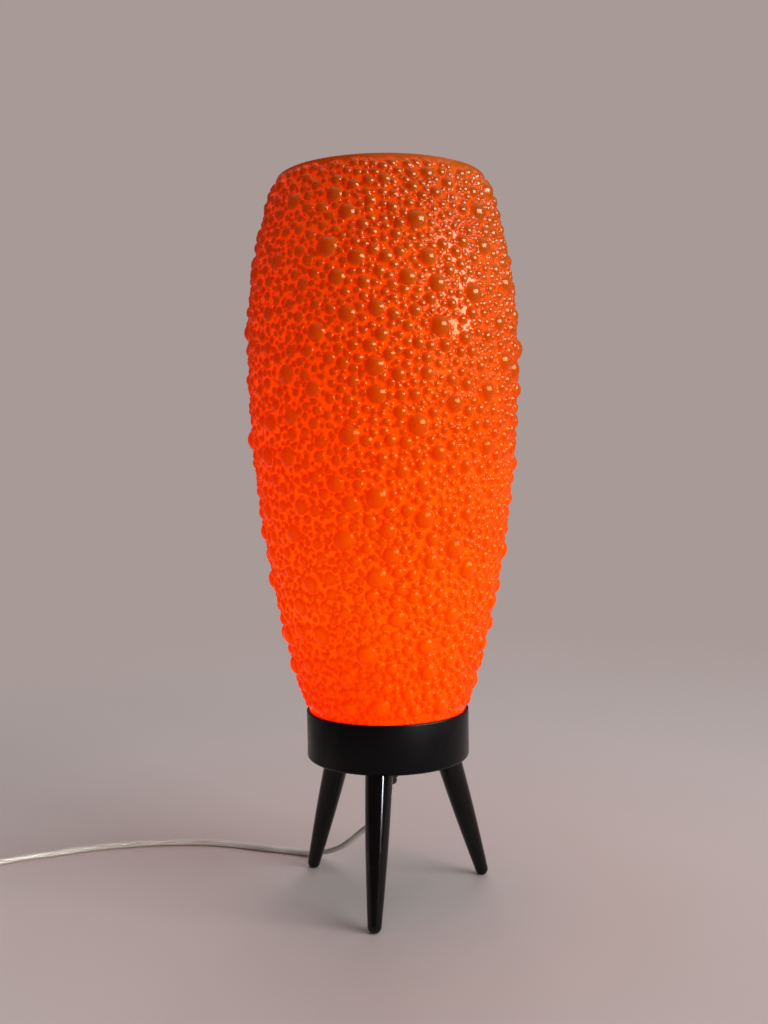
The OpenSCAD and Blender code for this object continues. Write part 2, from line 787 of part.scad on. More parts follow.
module cord_grip() {
    flange_z = leg_h - grip_flange_h;
    spigot_r = nipple_r + 1.5;
    color("#1a1a1a") difference() {
        rotate_extrude() polygon([
            [grip_cord_r, grip_z], [grip_tip_d / 2, grip_z], [spigot_r + 1, flange_z],
            [grip_flange_d / 2, flange_z], [grip_flange_d / 2, leg_h], [spigot_r, leg_h], [spigot_r, floor_z],
            [nipple_r + fit_gap, floor_z], [nipple_r + fit_gap, leg_h - nipple_in_grip],
            [grip_cord_r, leg_h - nipple_in_grip]
        ]);
        rotate([0, 0, exit_turn]) translate([0, 0, grip_screw_z]) rotate([0, 90, 0])
            cylinder(r = grip_screw_r + fit_gap, h = drum_r);
    }
}

module grip_screw() {
    reach = cord_t / 2 + fit_gap;
    color("#d8d4cc") rotate([0, 0, exit_turn]) translate([reach, 0, grip_screw_z]) rotate([0, 90, 0])
        cylinder(r = grip_screw_r, h = grip_tip_d / 2 + 1.2 - reach);
}

module inner_cord() {
    color("#cfcac0") translate([0, 0, grip_z]) rotate([0, 0, exit_turn + 90])
        linear_extrude(inner_cord_top - grip_z) flat_section(cord_w, cord_t);
}

// Cord switch

// Frame of the switch: +X along the cord away from the lamp
module on_switch() {
    translate(switch_at) rotate([0, 0, -90]) children();
}

// Boat-shaped outline between two arcs, drawn in by the given amount
module switch_outline(inset) {
    bow = (switch_w - switch_end_w) / 2;
    arc_r = (pow(switch_l / 2, 2) + pow(bow, 2)) / (2 * bow);
    intersection() {
        translate([0, arc_r - switch_w / 2]) circle(r = arc_r - inset, $fn = arc_facets / 2);
        translate([0, switch_w / 2 - arc_r]) circle(r = arc_r - inset, $fn = arc_facets / 2);
        square([switch_l - 2 * inset, switch_w], center = true);
    }
}

module switch_cup(h) {
    difference() {
        linear_extrude(h) switch_outline(0);
        translate([0, 0, switch_wall]) linear_extrude(h) switch_outline(switch_wall);
    }
}

module at_screws() {
    for (side = [-1, 1]) translate([side * switch_screw_x, 0, 0]) children();
}

module switch_lower_shell() {
    color("#e6e1d6") on_switch() difference() {
        union() {
            switch_cup(switch_low_h);
            at_screws() cylinder(r = switch_boss_r, h = switch_low_h);
        }
        at_screws() translate([0, 0, -1]) {
            cylinder(r = switch_screw_r + fit_gap, h = switch_low_h + 2);
            cylinder(r = switch_head_r + fit_gap, h = switch_head_h + 1);
        }
    }
}

module switch_upper_shell() {
    lug_y = rocker_w / 2 + rocker_gap;
    color("#e6e1d6") on_switch() difference() {
        union() {
            translate([0, 0, switch_top_z]) mirror([0, 0, 1]) switch_cup(switch_top_h);
            for (side = [-1, 1]) translate([-lug_x, side > 0 ? lug_y : -lug_y - lug_t, pivot_z - lug_x])
                cube([2 * lug_x, lug_t, switch_top_z - switch_wall / 2 - pivot_z + lug_x]);
            at_screws() translate([0, 0, switch_low_h])
                cylinder(r = switch_boss_r, h = switch_top_h - switch_wall / 2);
        }
        translate([0, 0, switch_top_z])
            cube([2 * (rocker_r + rocker_gap), 2 * lug_y, 4 * switch_wall], center = true);
        translate([0, 0, pivot_z]) rotate([90, 0, 0])
            cylinder(r = pivot_r + pivot_play, h = 2 * (lug_y + lug_t) + 2, center = true);
        at_screws() translate([0, 0, switch_low_h - 1])
            cylinder(r = switch_screw_r + fit_gap, h = switch_screw_up + 1 + 2 * fit_gap);
    }
}

// Frame of the rocker, tipped to on
module on_rocker() {
    on_switch() translate([0, 0, pivot_z]) rotate([0, rocker_tilt, 0]) children();
}

module switch_rocker() {
    lug_y = rocker_w / 2 + rocker_gap;
    color("#d8d2c6") on_rocker() {
        rotate([90, 0, 0]) translate([0, 0, -rocker_w / 2]) linear_extrude(rocker_w) intersection() {
            circle(r = rocker_r);
            polygon([
                [-rocker_r, rocker_top], [0, rocker_dip], [rocker_r, rocker_top], [rocker_r, rocker_under],
                [stem_x, rocker_under], [stem_x, stem_under], [-stem_x, stem_under],
                [-stem_x, rocker_under], [-rocker_r, rocker_under]
            ]);
        }
        rotate([90, 0, 0]) cylinder(r = pivot_r, h = 2 * (lug_y + lug_t) - 0.2, center = true);
    }
}

module switch_bridge() {
    color("#c9a24a") on_rocker() translate([0, 0, stem_under - bridge_t / 2])
        cube([2 * bridge_x, bridge_w, bridge_t], center = true);
}

module switch_contacts() {
    reach = terminal_at - terminal_size.x / 2;
    strip_t = 1;
    color("#c9a24a") on_switch() for (side = [-1, 1]) {
        translate([post_x, side * post_y, switch_wall]) cylinder(r = post_r, h = post_top - switch_wall);
        translate([side > 0 ? post_x : -reach, side * post_y - post_r, switch_wall])
            cube([reach - side * post_x, 2 * post_r, strip_t]);
    }
}

module switch_terminals() {
    wire_hole_r = 1.2;
    color("#c9a24a") on_switch() for (side = [-1, 1])
        translate([side * terminal_at, 0, switch_wall]) difference() {
            translate([-terminal_size.x / 2, -terminal_size.y / 2, 0]) cube(terminal_size);
            translate([-terminal_size.x, 0, terminal_size.z / 2]) rotate([0, 90, 0])
                cylinder(r = wire_hole_r, h = 2 * terminal_size.x);
        }
}

module switch_screws() {
    color("silver") on_switch() at_screws() {
        cylinder(r = switch_head_r, h = switch_head_h);
        cylinder(r = switch_screw_r, h = switch_low_h + switch_screw_up);
    }
}

// Plug

// Frame of the plug: +X along its pins, from the cord's end
module on_plug() {
    translate(plug_at) rotate([0, 0, 90]) children();
}

module plug_plan() {
    half = plug_w / 2;
    tail = plug_tail_w / 2;
    waist_r = 14;
    difference() {
        polygon([
            [0, -tail], [plug_l * 0.25, -tail], [plug_l * 0.75, -half], [plug_l, -half],
            [plug_l, half], [plug_l * 0.75, half], [plug_l * 0.25, tail], [0, tail]
        ]);
        for (side = [-1, 1]) translate([plug_l * 0.28, side * (tail + waist_r)]) circle(r = waist_r);
    }
}

module plug_side() {
    polygon([
        [0, -plug_tail_t / 2], [plug_l * 0.3, -plug_tail_t / 2], [plug_l * 0.8, -plug_t / 2],
        [plug_l, -plug_t / 2], [plug_l, plug_t / 2], [plug_l * 0.8, plug_t / 2],
        [plug_l * 0.3, plug_tail_t / 2], [0, plug_tail_t / 2]
    ]);
}

module at_pins() {
    for (side = [-1, 1]) translate([0, side * pin_pitch / 2, 0]) rotate([0, 90, 0]) children();
}

module plug_body() {
    color("#dcd7cc") on_plug() difference() {
        union() {
            intersection() {
                translate([0, 0, -plug_t]) linear_extrude(2 * plug_t) plug_plan();
                rotate([90, 0, 0]) translate([0, 0, -plug_w]) linear_extrude(2 * plug_w) plug_side();
            }
            at_pins() translate([0, 0, plug_l - 1]) cylinder(d = sleeve_d, h = sleeve_l + 1);
        }
        at_pins() translate([0, 0, plug_l - pin_in_body])
            cylinder(r = pin_core_r + fit_gap / 3, h = pin_l + pin_in_body);
    }
}

module plug_pins() {
    tip_r = pin_d / 2;
    color("#c8b47a") on_plug() at_pins() {
        translate([0, 0, plug_l - pin_in_body]) cylinder(r = pin_core_r, h = pin_in_body + sleeve_l + eps);
        translate([0, 0, plug_l + sleeve_l]) cylinder(r = tip_r, h = pin_l - sleeve_l - tip_r / 2);
        translate([0, 0, plug_l + pin_l - tip_r / 2]) cylinder(r1 = tip_r, r2 = tip_r / 2, h = tip_r / 2);
    }
}

base_drum();
leg_front();
leg_right();
leg_left();
leg_studs();
leg_washers();
leg_nuts();
shade();
shade_bubbles();
nipple();
holder_cap();
holder_skirt();
holder_insert();
holder_shell();
holder_tongue();
terminal_screws();
lead_wires();
bulb_glass();
bulb_cap();
bulb_insulator();
bulb_contact();
bulb_stem();
bulb_leads();
bulb_filament();
cord_grip();
grip_screw();
inner_cord();
cord_run();
cord_coil();
cord_tie();
switch_lower_shell();
switch_upper_shell();
switch_rocker();
switch_bridge();
switch_contacts();
switch_terminals();
switch_screws();
plug_body();
plug_pins();
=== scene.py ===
"""Dresses a bubble lamp: its moulded shade full of bubbles, drum, legs, lampholder, bulb and flat cord."""
import json
import math

import bmesh
import bpy
from bpy.props import FloatProperty, FloatVectorProperty, PointerProperty
from mathutils import Matrix, Vector


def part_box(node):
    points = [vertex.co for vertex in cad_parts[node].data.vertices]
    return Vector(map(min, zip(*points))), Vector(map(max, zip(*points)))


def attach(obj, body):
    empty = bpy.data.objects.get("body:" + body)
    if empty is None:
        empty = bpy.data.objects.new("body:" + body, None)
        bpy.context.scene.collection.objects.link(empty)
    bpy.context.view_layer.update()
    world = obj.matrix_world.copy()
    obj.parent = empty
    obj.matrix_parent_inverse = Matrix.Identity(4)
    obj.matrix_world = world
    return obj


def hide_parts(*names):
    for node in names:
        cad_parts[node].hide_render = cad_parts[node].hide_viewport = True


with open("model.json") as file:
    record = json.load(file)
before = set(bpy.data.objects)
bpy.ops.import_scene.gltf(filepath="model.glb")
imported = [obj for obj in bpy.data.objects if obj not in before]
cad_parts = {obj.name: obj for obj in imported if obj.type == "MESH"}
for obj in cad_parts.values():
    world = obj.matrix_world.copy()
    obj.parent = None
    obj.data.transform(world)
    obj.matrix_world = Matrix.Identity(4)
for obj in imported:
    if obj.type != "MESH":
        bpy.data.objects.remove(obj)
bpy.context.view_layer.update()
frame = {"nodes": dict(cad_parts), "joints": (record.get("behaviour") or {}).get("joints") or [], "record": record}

bl_info = {
    "name": "Bubble Lamp",
    "version": (1, 0, 0),
    "blender": (4, 5, 0),
    "location": "3D View > Sidebar > Lamp",
    "description": "Builds the looks of a bubble lamp around its frame",
    "category": "Object",
}

MM = 0.001

# Places that the frame gives
DRUM_LO, DRUM_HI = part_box("base_drum")
SHADE_LO, SHADE_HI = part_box("shade")
BULB_LO, BULB_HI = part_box("bulb_glass")
BULB_CAP_LO, BULB_CAP_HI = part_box("bulb_cap")
HOLDER_CAP_LO, HOLDER_CAP_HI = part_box("holder_cap")
SKIRT_LO, SKIRT_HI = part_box("holder_skirt")
NIPPLE_LO, NIPPLE_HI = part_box("nipple")
GRIP_LO, GRIP_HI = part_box("cord_grip")
INNER_CORD_LO, INNER_CORD_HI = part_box("inner_cord")
TIE_LO, TIE_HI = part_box("cord_tie")
LOWER_LO, LOWER_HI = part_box("switch_lower_shell")
UPPER_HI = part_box("switch_upper_shell")[1]
PLUG_LO, PLUG_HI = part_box("plug_body")
PINS_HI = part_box("plug_pins")[1]
MOUNTS = {mount["name"]: Vector(mount["pos_m"]) for mount in frame["record"]["mounts"]}
JOINTS = {joint["name"]: joint for joint in frame["joints"]}


def linear(code):
    """Linear colour of an sRGB hex value."""
    shares = [int(code[i:i + 2], 16) / 255 for i in (1, 3, 5)]
    return tuple(s / 12.92 if s <= 0.04045 else ((s + 0.055) / 1.055) ** 2.4 for s in shares) + (1.0,)


def length(name, text, millimetres):
    """A size that a user may change."""
    return FloatProperty(name=name, description=text, default=millimetres * MM, unit="LENGTH", precision=5)


def angle(name, text, degrees):
    """An angle that a user may change."""
    return FloatProperty(name=name, description=text, default=math.radians(degrees), subtype="ANGLE")


def number(name, text, amount):
    """A plain number that a user may change."""
    return FloatProperty(name=name, description=text, default=amount)


def colour(name, text, code):
    """A colour that a user may change."""
    return FloatVectorProperty(
        name=name, description=text, default=linear(code), size=4, subtype="COLOR", max=4.0
    )


class ShadeSettings(bpy.types.PropertyGroup):
    """Sizes and colours of the shade."""

    belly_height: length("Belly height", "Height of the widest place above the floor", 305)
    foot_radius: length("Foot radius", "Radius of the bare wall just above the drum", 44.2)
    top_radius: length("Top radius", "Radius of the wall at the top rim", 57.5)
    collar_radius: length("Collar radius", "Radius of the collar inside the drum", 43.5)
    shoulder_gap: length("Shoulder gap", "Gap between the shade's shoulder and the drum", 0.3)
    wall: length("Wall", "Thickness of the wall", 2.2)
    rim_round: length("Rim rounding", "Rounding of the top rim", 0.7)
    top_band: length("Top band", "Band below the top rim without main bubbles", 4.5)
    foot_band: length("Foot band", "Band above the drum without main bubbles", 3.5)
    fill_band: length("Plain band", "Band at either end without any bubbles", 2)
    rise: number("Rise", "Height of a main bubble over its base radius", 0.6)
    sink: length("Sink", "Depth of a main bubble's base under the wall's surface", 0.5)
    spread: length("Spread", "How much wider a main bubble's soft foot is than its solid", 0.45)
    fill_rise: number("Filler rise", "Height of a filler over its base radius", 0.5)
    fill_sink: length("Filler sink", "Depth of a filler's base under the wall's surface", 0.25)
    plastic: colour("Plastic", "Shade plastic in daylight", "#A66402")
    plastic_deep: colour("Deep plastic", "Shade plastic where it is denser", "#945801")
    glow_inside: colour("Glow inside", "Lit inner wall", "#FF9A3C")


class BaseSettings(bpy.types.PropertyGroup):
    """Sizes and colours of the drum and its legs."""

    edge_round: length("Lower edge", "Rounding of the drum's lower edge", 2)
    rim_round: length("Rim", "Rounding of the drum's rim", 0.5)
    drum_wall: length("Drum wall", "Thickness of the drum's wall at the rim", 2)
    drum_floor: length("Drum floor", "Thickness of the drum's floor", 3.5)
    ledge_width: length("Ledge", "Width of the ledge under the shade", 3)
    ledge_depth: length("Ledge depth", "Depth of that ledge below the rim", 11)
    boss_radius: length("Boss", "Radius of the boss round each stud", 7.75)
    boss_height: length("Boss height", "Height of each boss along its stud", 5)
    leg_top_radius: length("Leg top", "Radius of a leg at the drum", 7.5)
    leg_tip_radius: length("Leg tip", "Radius of a leg at its foot", 3.75)
    leg_swell: length("Leg swell", "Swell of a leg's side over a straight taper", 0.5)
    foot_flat: length("Foot flat", "Radius of the flat that a foot stands on", 2.2)
    leg_lean: angle("Leg lean", "Lean of each leg from upright", 17)
    drum_black: colour("Drum", "Black moulded plastic", "#08070A")
    leg_black: colour("Legs", "Black lacquer", "#070707")


class LightSettings(bpy.types.PropertyGroup):
    """Sizes and colours of the lampholder and the bulb."""

    bead: length("Bead", "Radius of the beads on the lampholder's skirt", 1)
    thread_pitch: length("Thread pitch", "Pitch of the bulb's screw cap", 3.6)
    thread_depth: length("Thread depth", "Depth of the bulb's screw thread", 0.7)
    bakelite: colour("Bakelite", "Dark brown phenolic moulding", "#241812")
    glass_glow: colour("Glass glow", "Light in the frosted glass", "#FFC98A")


class CordSettings(bpy.types.PropertyGroup):
    """Sizes and colours of the cord and what is on it."""

    width: length("Width", "Width of the flat cord", 5.4)
    thickness: length("Thickness", "Thickness of the flat cord", 3.2)
    exit_turn: angle("Exit turn", "Way the cord heads below its grip", 130)
    coil_radius: length("Coil radius", "Radius of the coil's outer turn", 38.5)
    coil_turns: number("Coil turns", "Turns in the put-away coil", 6.25)
    turn_gap: length("Turn gap", "Gap between neighbouring turns", 0.6)
    tie_thickness: length("Tie", "Thickness of the tie round the coil", 0.8)
    shell_round: length("Shell edge", "Rounding of the switch's upper edge", 2)
    rocker_radius: length("Rocker", "Radius of the rocker's ends about its pivot", 9.4)
    rocker_width: length("Rocker width", "Width of the rocker", 11)
    rocker_gap: length("Rocker gap", "Gap round the rocker in its opening", 0.4)
    plug_round: length("Plug edge", "Rounding of the plug's edges", 1.4)
    cord_white: colour("Cord", "Off-white soft plastic", "#ECE8E1")
    switch_white: colour("Switch", "Off-white hard plastic", "#EBE5D9")


class StageSettings(bpy.types.PropertyGroup):
    """Floor, light and camera."""

    floor_radius: FloatProperty(name="Floor", description="Radius of the floor", default=6, unit="LENGTH")
    floor_pale: colour("Floor", "Pale floor", "#DED2D0")
    background: colour("Background", "Pale background", "#A89A97")
    lens: number("Lens", "Focal length on a 36 mm wide sensor", 38.55)
    camera_place: FloatVectorProperty(
        name="Camera", description="Place of the camera", subtype="TRANSLATION",
        default=(-0.00054, -0.6175, 0.2438),
    )
    camera_pitch: angle("Pitch", "Tilt of the camera below level", 2.58)
    camera_roll: angle("Roll", "Turn of the picture", -0.8)


# Materials


def as_colour(value):
    """A hex value as a colour, and anything else as it is."""
    return linear(value) if isinstance(value, str) else value


def add(tree, kind, inputs=None, stops=(), out=0, **fields):
    """Add a node and give its output: fields are settings, inputs hold a socket's value or what feeds it."""
    made = tree.nodes.new("ShaderNode" + kind)
    for name, value in fields.items():
        setattr(made, name, value)
    for index, (place, tint) in enumerate(stops):
        stop = made.color_ramp.elements[index] if index < 2 else made.color_ramp.elements.new(place)
        stop.position = place
        stop.color = as_colour(tint)
    for socket, value in (inputs or {}).items():
        if isinstance(value, bpy.types.NodeSocket):
            tree.links.new(value, made.inputs[socket])
        else:
            made.inputs[socket].default_value = as_colour(value)
    return made.outputs[out]


def feed(tree, shader, **sockets):
    """Link outputs of other nodes to a shader's sockets."""
    for socket, source in sockets.items():
        tree.links.new(source, shader.inputs[socket.replace("_", " ")])


def object_place(tree):
    """Place on the object."""
    return add(tree, "TexCoord", out="Object")


def noise(tree, place, millimetres, detail=2.0):
    """Cloudy noise of a size."""
    return add(tree, "TexNoise", {"Vector": place, "Scale": 1 / (millimetres * MM), "Detail": detail})


def ranged(tree, value, start, end, low=0.0, high=1.0, kind="LINEAR"):
    """Map a value from one range to another."""
    ends = {"Value": value, "From Min": start, "From Max": end, "To Min": low, "To Max": high}
    return add(tree, "MapRange", ends, interpolation_type=kind)


def height_share(tree, place, low, high):
    """Share of the way up from one height to another."""
    return ranged(tree, add(tree, "SeparateXYZ", {"Vector": place}, out="Z"), low, high)


def ramp(tree, value, *stops):
    """Colour that changes with a value."""
    return add(tree, "ValToRGB", {"Fac": value}, stops)


def mixed(tree, share, first, second):
    """Mix of two colours. The node has sockets of its own for colours: 6, 7 and, going out, 2."""
    return add(tree, "Mix", {0: share, 6: first, 7: second}, out=2, data_type="RGBA")


def maths(tree, operation, first, second, **fields):
    """Outcome of arithmetic on two values."""
    return add(tree, "Math", {0: first, 1: second}, operation=operation, **fields)


def new_material(name, **sockets):
    """A material with its shader's own sockets set."""
    made = bpy.data.materials.new(name)
    made.use_nodes = True
    shader = made.node_tree.nodes["Principled BSDF"]
    for socket, value in sockets.items():
        shader.inputs[socket.replace("_", " ")].default_value = as_colour(value)
    return made, made.node_tree, shader


def surface(name, light, dark, mottle, roughness, spread, grain, depth, stretch=(1, 1, 1), **sockets):
    """Solid material that varies a little in tone and gloss, with a fine grain. Sizes are in millimetres."""
    made, tree, shader = new_material(name, **sockets)
    laid = add(tree, "Mapping", {"Vector": object_place(tree), "Scale": stretch})
    patches = noise(tree, laid, mottle, 4.0)
    feed(
        tree, shader,
        Base_Color=ramp(tree, patches, (0.3, dark), (0.7, light)),
        Roughness=ranged(tree, patches, 0.3, 0.7, roughness + spread, roughness - spread),
        Normal=add(tree, "Bump", {"Height": noise(tree, laid, grain), "Distance": depth * MM}),
    )
    return made


# Solid finishes: light and dark tone, mottle, roughness and how far it varies, grain and its depth, with
# lengths in millimetres, then what else the shader needs. None stands for a colour of the settings.
FINISHES = {
    # Satin black moulded polystyrene: a soft broad highlight with a faint flow mottle
    "satin_black_polystyrene": (None, "#040406", 14, 0.3, 0.05, 0.9, 0.01, {"Specular_IOR_Level": 0.13}),
    # Black lacquer sprayed on turned beech: deep gloss with a slight orange peel
    "black_lacquered_beech": (None, "#030303", 9, 0.16, 0.05, 2.2, 0.012, {
        "Specular_IOR_Level": 0.12, "Coat_Weight": 0.35, "Coat_Roughness": 0.05,
    }),
    # Zinc-plated steel from the barrel: bright grey with a dull bloom
    "zinc_plated_steel": ("#C2C5C8", "#8F9496", 3, 0.34, 0.1, 0.6, 0.01, {"Metallic": 1.0}),
    # Pressed phenolic: dark brown with a hard polish and a faint mottle
    "pressed_phenolic": (None, "#150D0A", 5, 0.24, 0.07, 1.2, 0.01, {"IOR": 1.6}),
    # Glazed porcelain: white with a wet gloss
    "glazed_porcelain": ("#EFEAE0", "#DED7CA", 6, 0.16, 0.05, 2, 0.015, {"IOR": 1.54}),
    # Drawn brass left bare: warm, with a thin tarnish
    "bare_brass": ("#D9B668", "#A37C38", 4, 0.32, 0.1, 0.5, 0.008, {"Metallic": 1.0}),
    # Rolled aluminium: pale grey with fine rolling lines round the cap
    "rolled_aluminium": ("#DADAD6", "#B4B4B0", 3, 0.3, 0.08, 0.5, 0.01, {
        "stretch": (0.2, 0.2, 1), "Metallic": 1.0,
    }),
    # Clear lead glass of the bulb's stem
    "clear_stem_glass": ("#F4F6F2", "#E2E8E2", 8, 0.06, 0.03, 3, 0.01, {
        "IOR": 1.52, "Transmission_Weight": 0.9,
    }),
    # Black glass of the bulb's insulator
    "black_glass": ("#12141A", "#0A0B0E", 5, 0.12, 0.04, 2, 0.01, {"IOR": 1.52}),
    # Coloured wire insulation: smooth and slightly glossy
    "blue_wire_pvc": ("#5673A8", "#48628F", 4, 0.4, 0.05, 0.8, 0.01, {}),
    # Off-white soft PVC, gone a little grey with handling
    "off_white_cord_pvc": (None, "#DAD5CB", 16, 0.46, 0.07, 1.0, 0.02, {"IOR": 1.53}),
    # Black nylon of the cord grip: dull, with a fine moulded grain
    "black_nylon": ("#1A1A1B", "#101011", 6, 0.5, 0.06, 0.7, 0.02, {"IOR": 1.53}),
    # Uncoloured nylon of the clamp screw: milky white
    "natural_nylon": ("#DDD9CE", "#CBC5B6", 3, 0.42, 0.05, 0.6, 0.01, {"IOR": 1.53}),
    # Black hook-and-loop tape: a dull pile, drawn at 0.8 mm so that it shows
    "black_hook_tape": ("#262628", "#141415", 1.6, 0.8, 0.08, 0.8, 0.12, {"Sheen_Weight": 0.3}),
    # Off-white ABS: satin, with a trace of yellowing
    "off_white_abs": (None, "#DDD5C5", 18, 0.33, 0.06, 0.8, 0.012, {"IOR": 1.53}),
    # The rocker's ABS, a little darker where fingers press
    "ivory_abs": ("#D8D0C0", "#C6BCA9", 7, 0.28, 0.06, 0.8, 0.01, {"IOR": 1.53}),
    # Soft moulded PVC of the plug: matt, with a spark-eroded grain
    "off_white_plug_pvc": (None, "#DCD7CC", 14, 0.5, 0.06, 0.7, 0.03, {"IOR": 1.53}),
}


def solid(name, light=None):
    """A solid finish: one in a colour of the settings is made anew, any other is made once."""
    made = bpy.data.materials.get(name)
    if light or not made:
        tone, dark, *numbers, more = FINISHES[name]
        made = surface(name, light or tone, dark, *numbers, **more)
    return made


def shade_polystyrene(settings, name, inside):
    """Translucent polystyrene with the bulb's light painted in as a glow: bright in thin creases, dim on thick
    bubbles.
    """
    made, tree, shader = new_material(name, IOR=1.5, Emission_Strength=1.0)
    place = object_place(tree)
    level = height_share(tree, place, DRUM_HI.z, SHADE_HI.z)
    clouds = noise(tree, place, 35, 3.0)

    def by_level(foot, low, middle, high, rim):
        """Colour at five heights of the shade."""
        return ramp(tree, level, (0.0, foot), (0.2, low), (0.45, middle), (0.7, high), (1.0, rim))

    # The bulb is low down, so the wall glows most beside it and least at the rim
    crease = by_level("#F82400", "#FC4A02", "#FA3A00", "#EA2E00", "#C82200")
    bubble = by_level("#E00600", "#DA1200", "#D00C00", "#A60600", "#820200")
    # Low down, the light of the bulb comes through the tops of the bubbles too
    crown = by_level("#EE2000", "#F03200", "#D41600", "#A20500", "#7A0200")
    # The painted glow follows the plastic's thickness from the dome attribute: bright in thin creases, dimmer on
    # the bubbles
    dome = add(tree, "Attribute", attribute_name="dome", out="Fac")
    side = ranged(tree, dome, 0.0, 0.7, kind="SMOOTHSTEP")
    top = ranged(tree, dome, 0.55, 1.0, kind="SMOOTHSTEP")
    # The least bubbles, too small to model, fill the wall between the others as cells of dimmer painted glow and a
    # bump
    cells = add(tree, "TexVoronoi", {"Vector": place, "Scale": 1 / (2.9 * MM), "Randomness": 0.9})
    least = ranged(tree, cells, 0.2, 0.62, 0.85, 0.0, "SMOOTHSTEP")
    proud = maths(tree, "MAXIMUM", side, least)
    outer = mixed(tree, proud, crease, mixed(tree, top, bubble, crown))
    inner = ramp(
        tree, level, (0.0, "#FF6A10"), (0.3, settings.glow_inside), (0.65, "#FA6E14"), (1.0, "#B83806")
    )
    # Flow marks of the mould, drawn at 6 mm so that they show
    marks = add(tree, "Bump", {"Height": noise(tree, place, 6), "Distance": 0.1 * MM})
    flat = maths(tree, "SUBTRACT", least, side, use_clamp=True)
    feed(
        tree, shader,
        Base_Color=ramp(tree, clouds, (0.3, settings.plastic_deep), (0.7, settings.plastic)),
        Roughness=ranged(tree, clouds, 0.0, 1.0, 0.1, 0.2),
        Specular_IOR_Level=ranged(tree, level, 0.2, 0.75, 0.09, 0.2),
        Specular_Tint=ramp(tree, level, (0.0, "#FFA014"), (0.5, "#FFB450"), (1.0, "#FFE6D8")),
        Emission_Color=inner if inside else outer,
        Normal=add(tree, "Bump", {"Height": flat, "Distance": 0.9 * MM, "Normal": marks}),
    )
    return made


def frosted_glass(settings):
    """Bulb glass frosted inside, with the lamp on: a warm, even glow that is strongest round the filament."""
    made, tree, shader = new_material(
        "frosted_bulb_glass", Base_Color="#FFF3E0", IOR=1.5, Transmission_Weight=0.35, Emission_Strength=1.6
    )
    place = object_place(tree)
    level = height_share(tree, place, BULB_LO.z, BULB_HI.z)
    glow = ramp(
        tree, level, (0.0, "#3A2412"), (0.3, "#8A5A30"), (0.65, settings.glass_glow), (1.0, "#F0A860")
    )
    frost = ranged(tree, noise(tree, place, 1.2), 0.0, 1.0, 0.3, 0.5)
    feed(tree, shader, Emission_Color=glow, Roughness=frost)
    return made


def tungsten():
    """Tungsten filament at white heat."""
    made, tree, shader = new_material("hot_tungsten", Emission_Strength=6.0, Roughness=0.5)
    turns = noise(tree, object_place(tree), 1.5)
    feed(tree, shader, Emission_Color=ramp(tree, turns, (0.3, "#FFC070"), (0.7, "#FFE8C0")))
    return made


# Shapes

SMOOTH_BEND = math.radians(38)
WELD = 0.001 * MM


def new_mesh(name, bm):
    """Store a working mesh."""
    mesh = bpy.data.meshes.new(name)
    bm.to_mesh(mesh)
    bm.free()
    return mesh


def new_object(name, data):
    """Put an object in the scene."""
    made = bpy.data.objects.new(name, data)
    bpy.context.scene.collection.objects.link(made)
    return made


def new_piece(name, bm, body, finishes, nodes, sharp=SMOOTH_BEND):
    """Finish a mesh as a piece that rides on a body and stands for CAD nodes."""
    mesh = new_mesh(name, bm)
    mesh.shade_smooth()
    if sharp:
        mesh.set_sharp_from_angle(angle=sharp)
    for finish in finishes:
        mesh.materials.append(finish)
    piece = new_object(name, mesh)
    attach(piece, body)
    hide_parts(*nodes)
    return piece


def finish_nodes(finish, *nodes):
    """Give CAD nodes that stay a material."""
    for name in nodes:
        node = frame["nodes"][name]
        if not node.material_slots:
            node.data.materials.append(finish)
        for slot in node.material_slots:
            slot.material = finish


def move(bm, matrix):
    """Move a whole mesh."""
    bmesh.ops.transform(bm, matrix=matrix, verts=bm.verts)


def face_out(bm):
    """Turn every face outwards."""
    bmesh.ops.recalc_face_normals(bm, faces=bm.faces)


def rotation(turn, axis):
    """Turn about an axis."""
    return Matrix.Rotation(turn, 4, axis)


def spun(outline, steps, closed=True, rounds=None):
    """Turn an outline of (radius, height) points about the axis, then round the rings of some points."""
    bm = bmesh.new()
    corner = bm.verts.layers.int.new("corner")
    points = []
    for index, (radius, height) in enumerate(outline):
        point = bm.verts.new((radius, 0, height))
        point[corner] = index + 1
        points.append(point)
    ends = points[1:] + points[:1] if closed else points[1:]
    edges = [bm.edges.new(pair) for pair in zip(points, ends)]
    bmesh.ops.spin(bm, geom=points + edges, cent=(0, 0, 0), axis=(0, 0, 1), angle=math.tau, steps=steps,
                   use_merge=True)
    bmesh.ops.remove_doubles(bm, verts=bm.verts, dist=WELD)
    face_out(bm)
    for index, radius in (rounds or {}).items():
        ring = [e for e in bm.edges if all(v[corner] == index + 1 for v in e.verts)]
        round_edges(bm, ring, radius, 4)
    return bm


def round_edges(bm, edges, radius, segments):
    """Round edges with an arc."""
    bmesh.ops.bevel(bm, geom=edges, offset=radius, offset_type="OFFSET", affect="EDGES", segments=segments,
                    profile=0.5, material=-1, clamp_overlap=True)


def sharp_edges(bm, bend):
    """Edges that turn by more than an angle."""
    return [e for e in bm.edges if len(e.link_faces) == 2 and e.calc_face_angle() > bend]


def open_edges(bm):
    """Edges with a face on one side only."""
    return [e for e in bm.edges if len(e.link_faces) == 1]


def new_points(grown):
    """Points among what an operator has made."""
    return [part for part in grown["geom"] if isinstance(part, bmesh.types.BMVert)]


def fill_holes(bm):
    """Close open rings with a face each."""
    bmesh.ops.holes_fill(bm, edges=open_edges(bm), sides=0)
    face_out(bm)


def cut(bm, place, normal, drop=False):
    """Cut a mesh along a plane, and drop what lies past it if asked."""
    whole = bm.verts[:] + bm.edges[:] + bm.faces[:]
    bmesh.ops.bisect_plane(bm, geom=whole, plane_co=place, plane_no=normal, clear_outer=drop)


def trim(bm, place, away):
    """Cut off what lies past a plane and close the cut."""
    cut(bm, place, away, drop=True)
    fill_holes(bm)


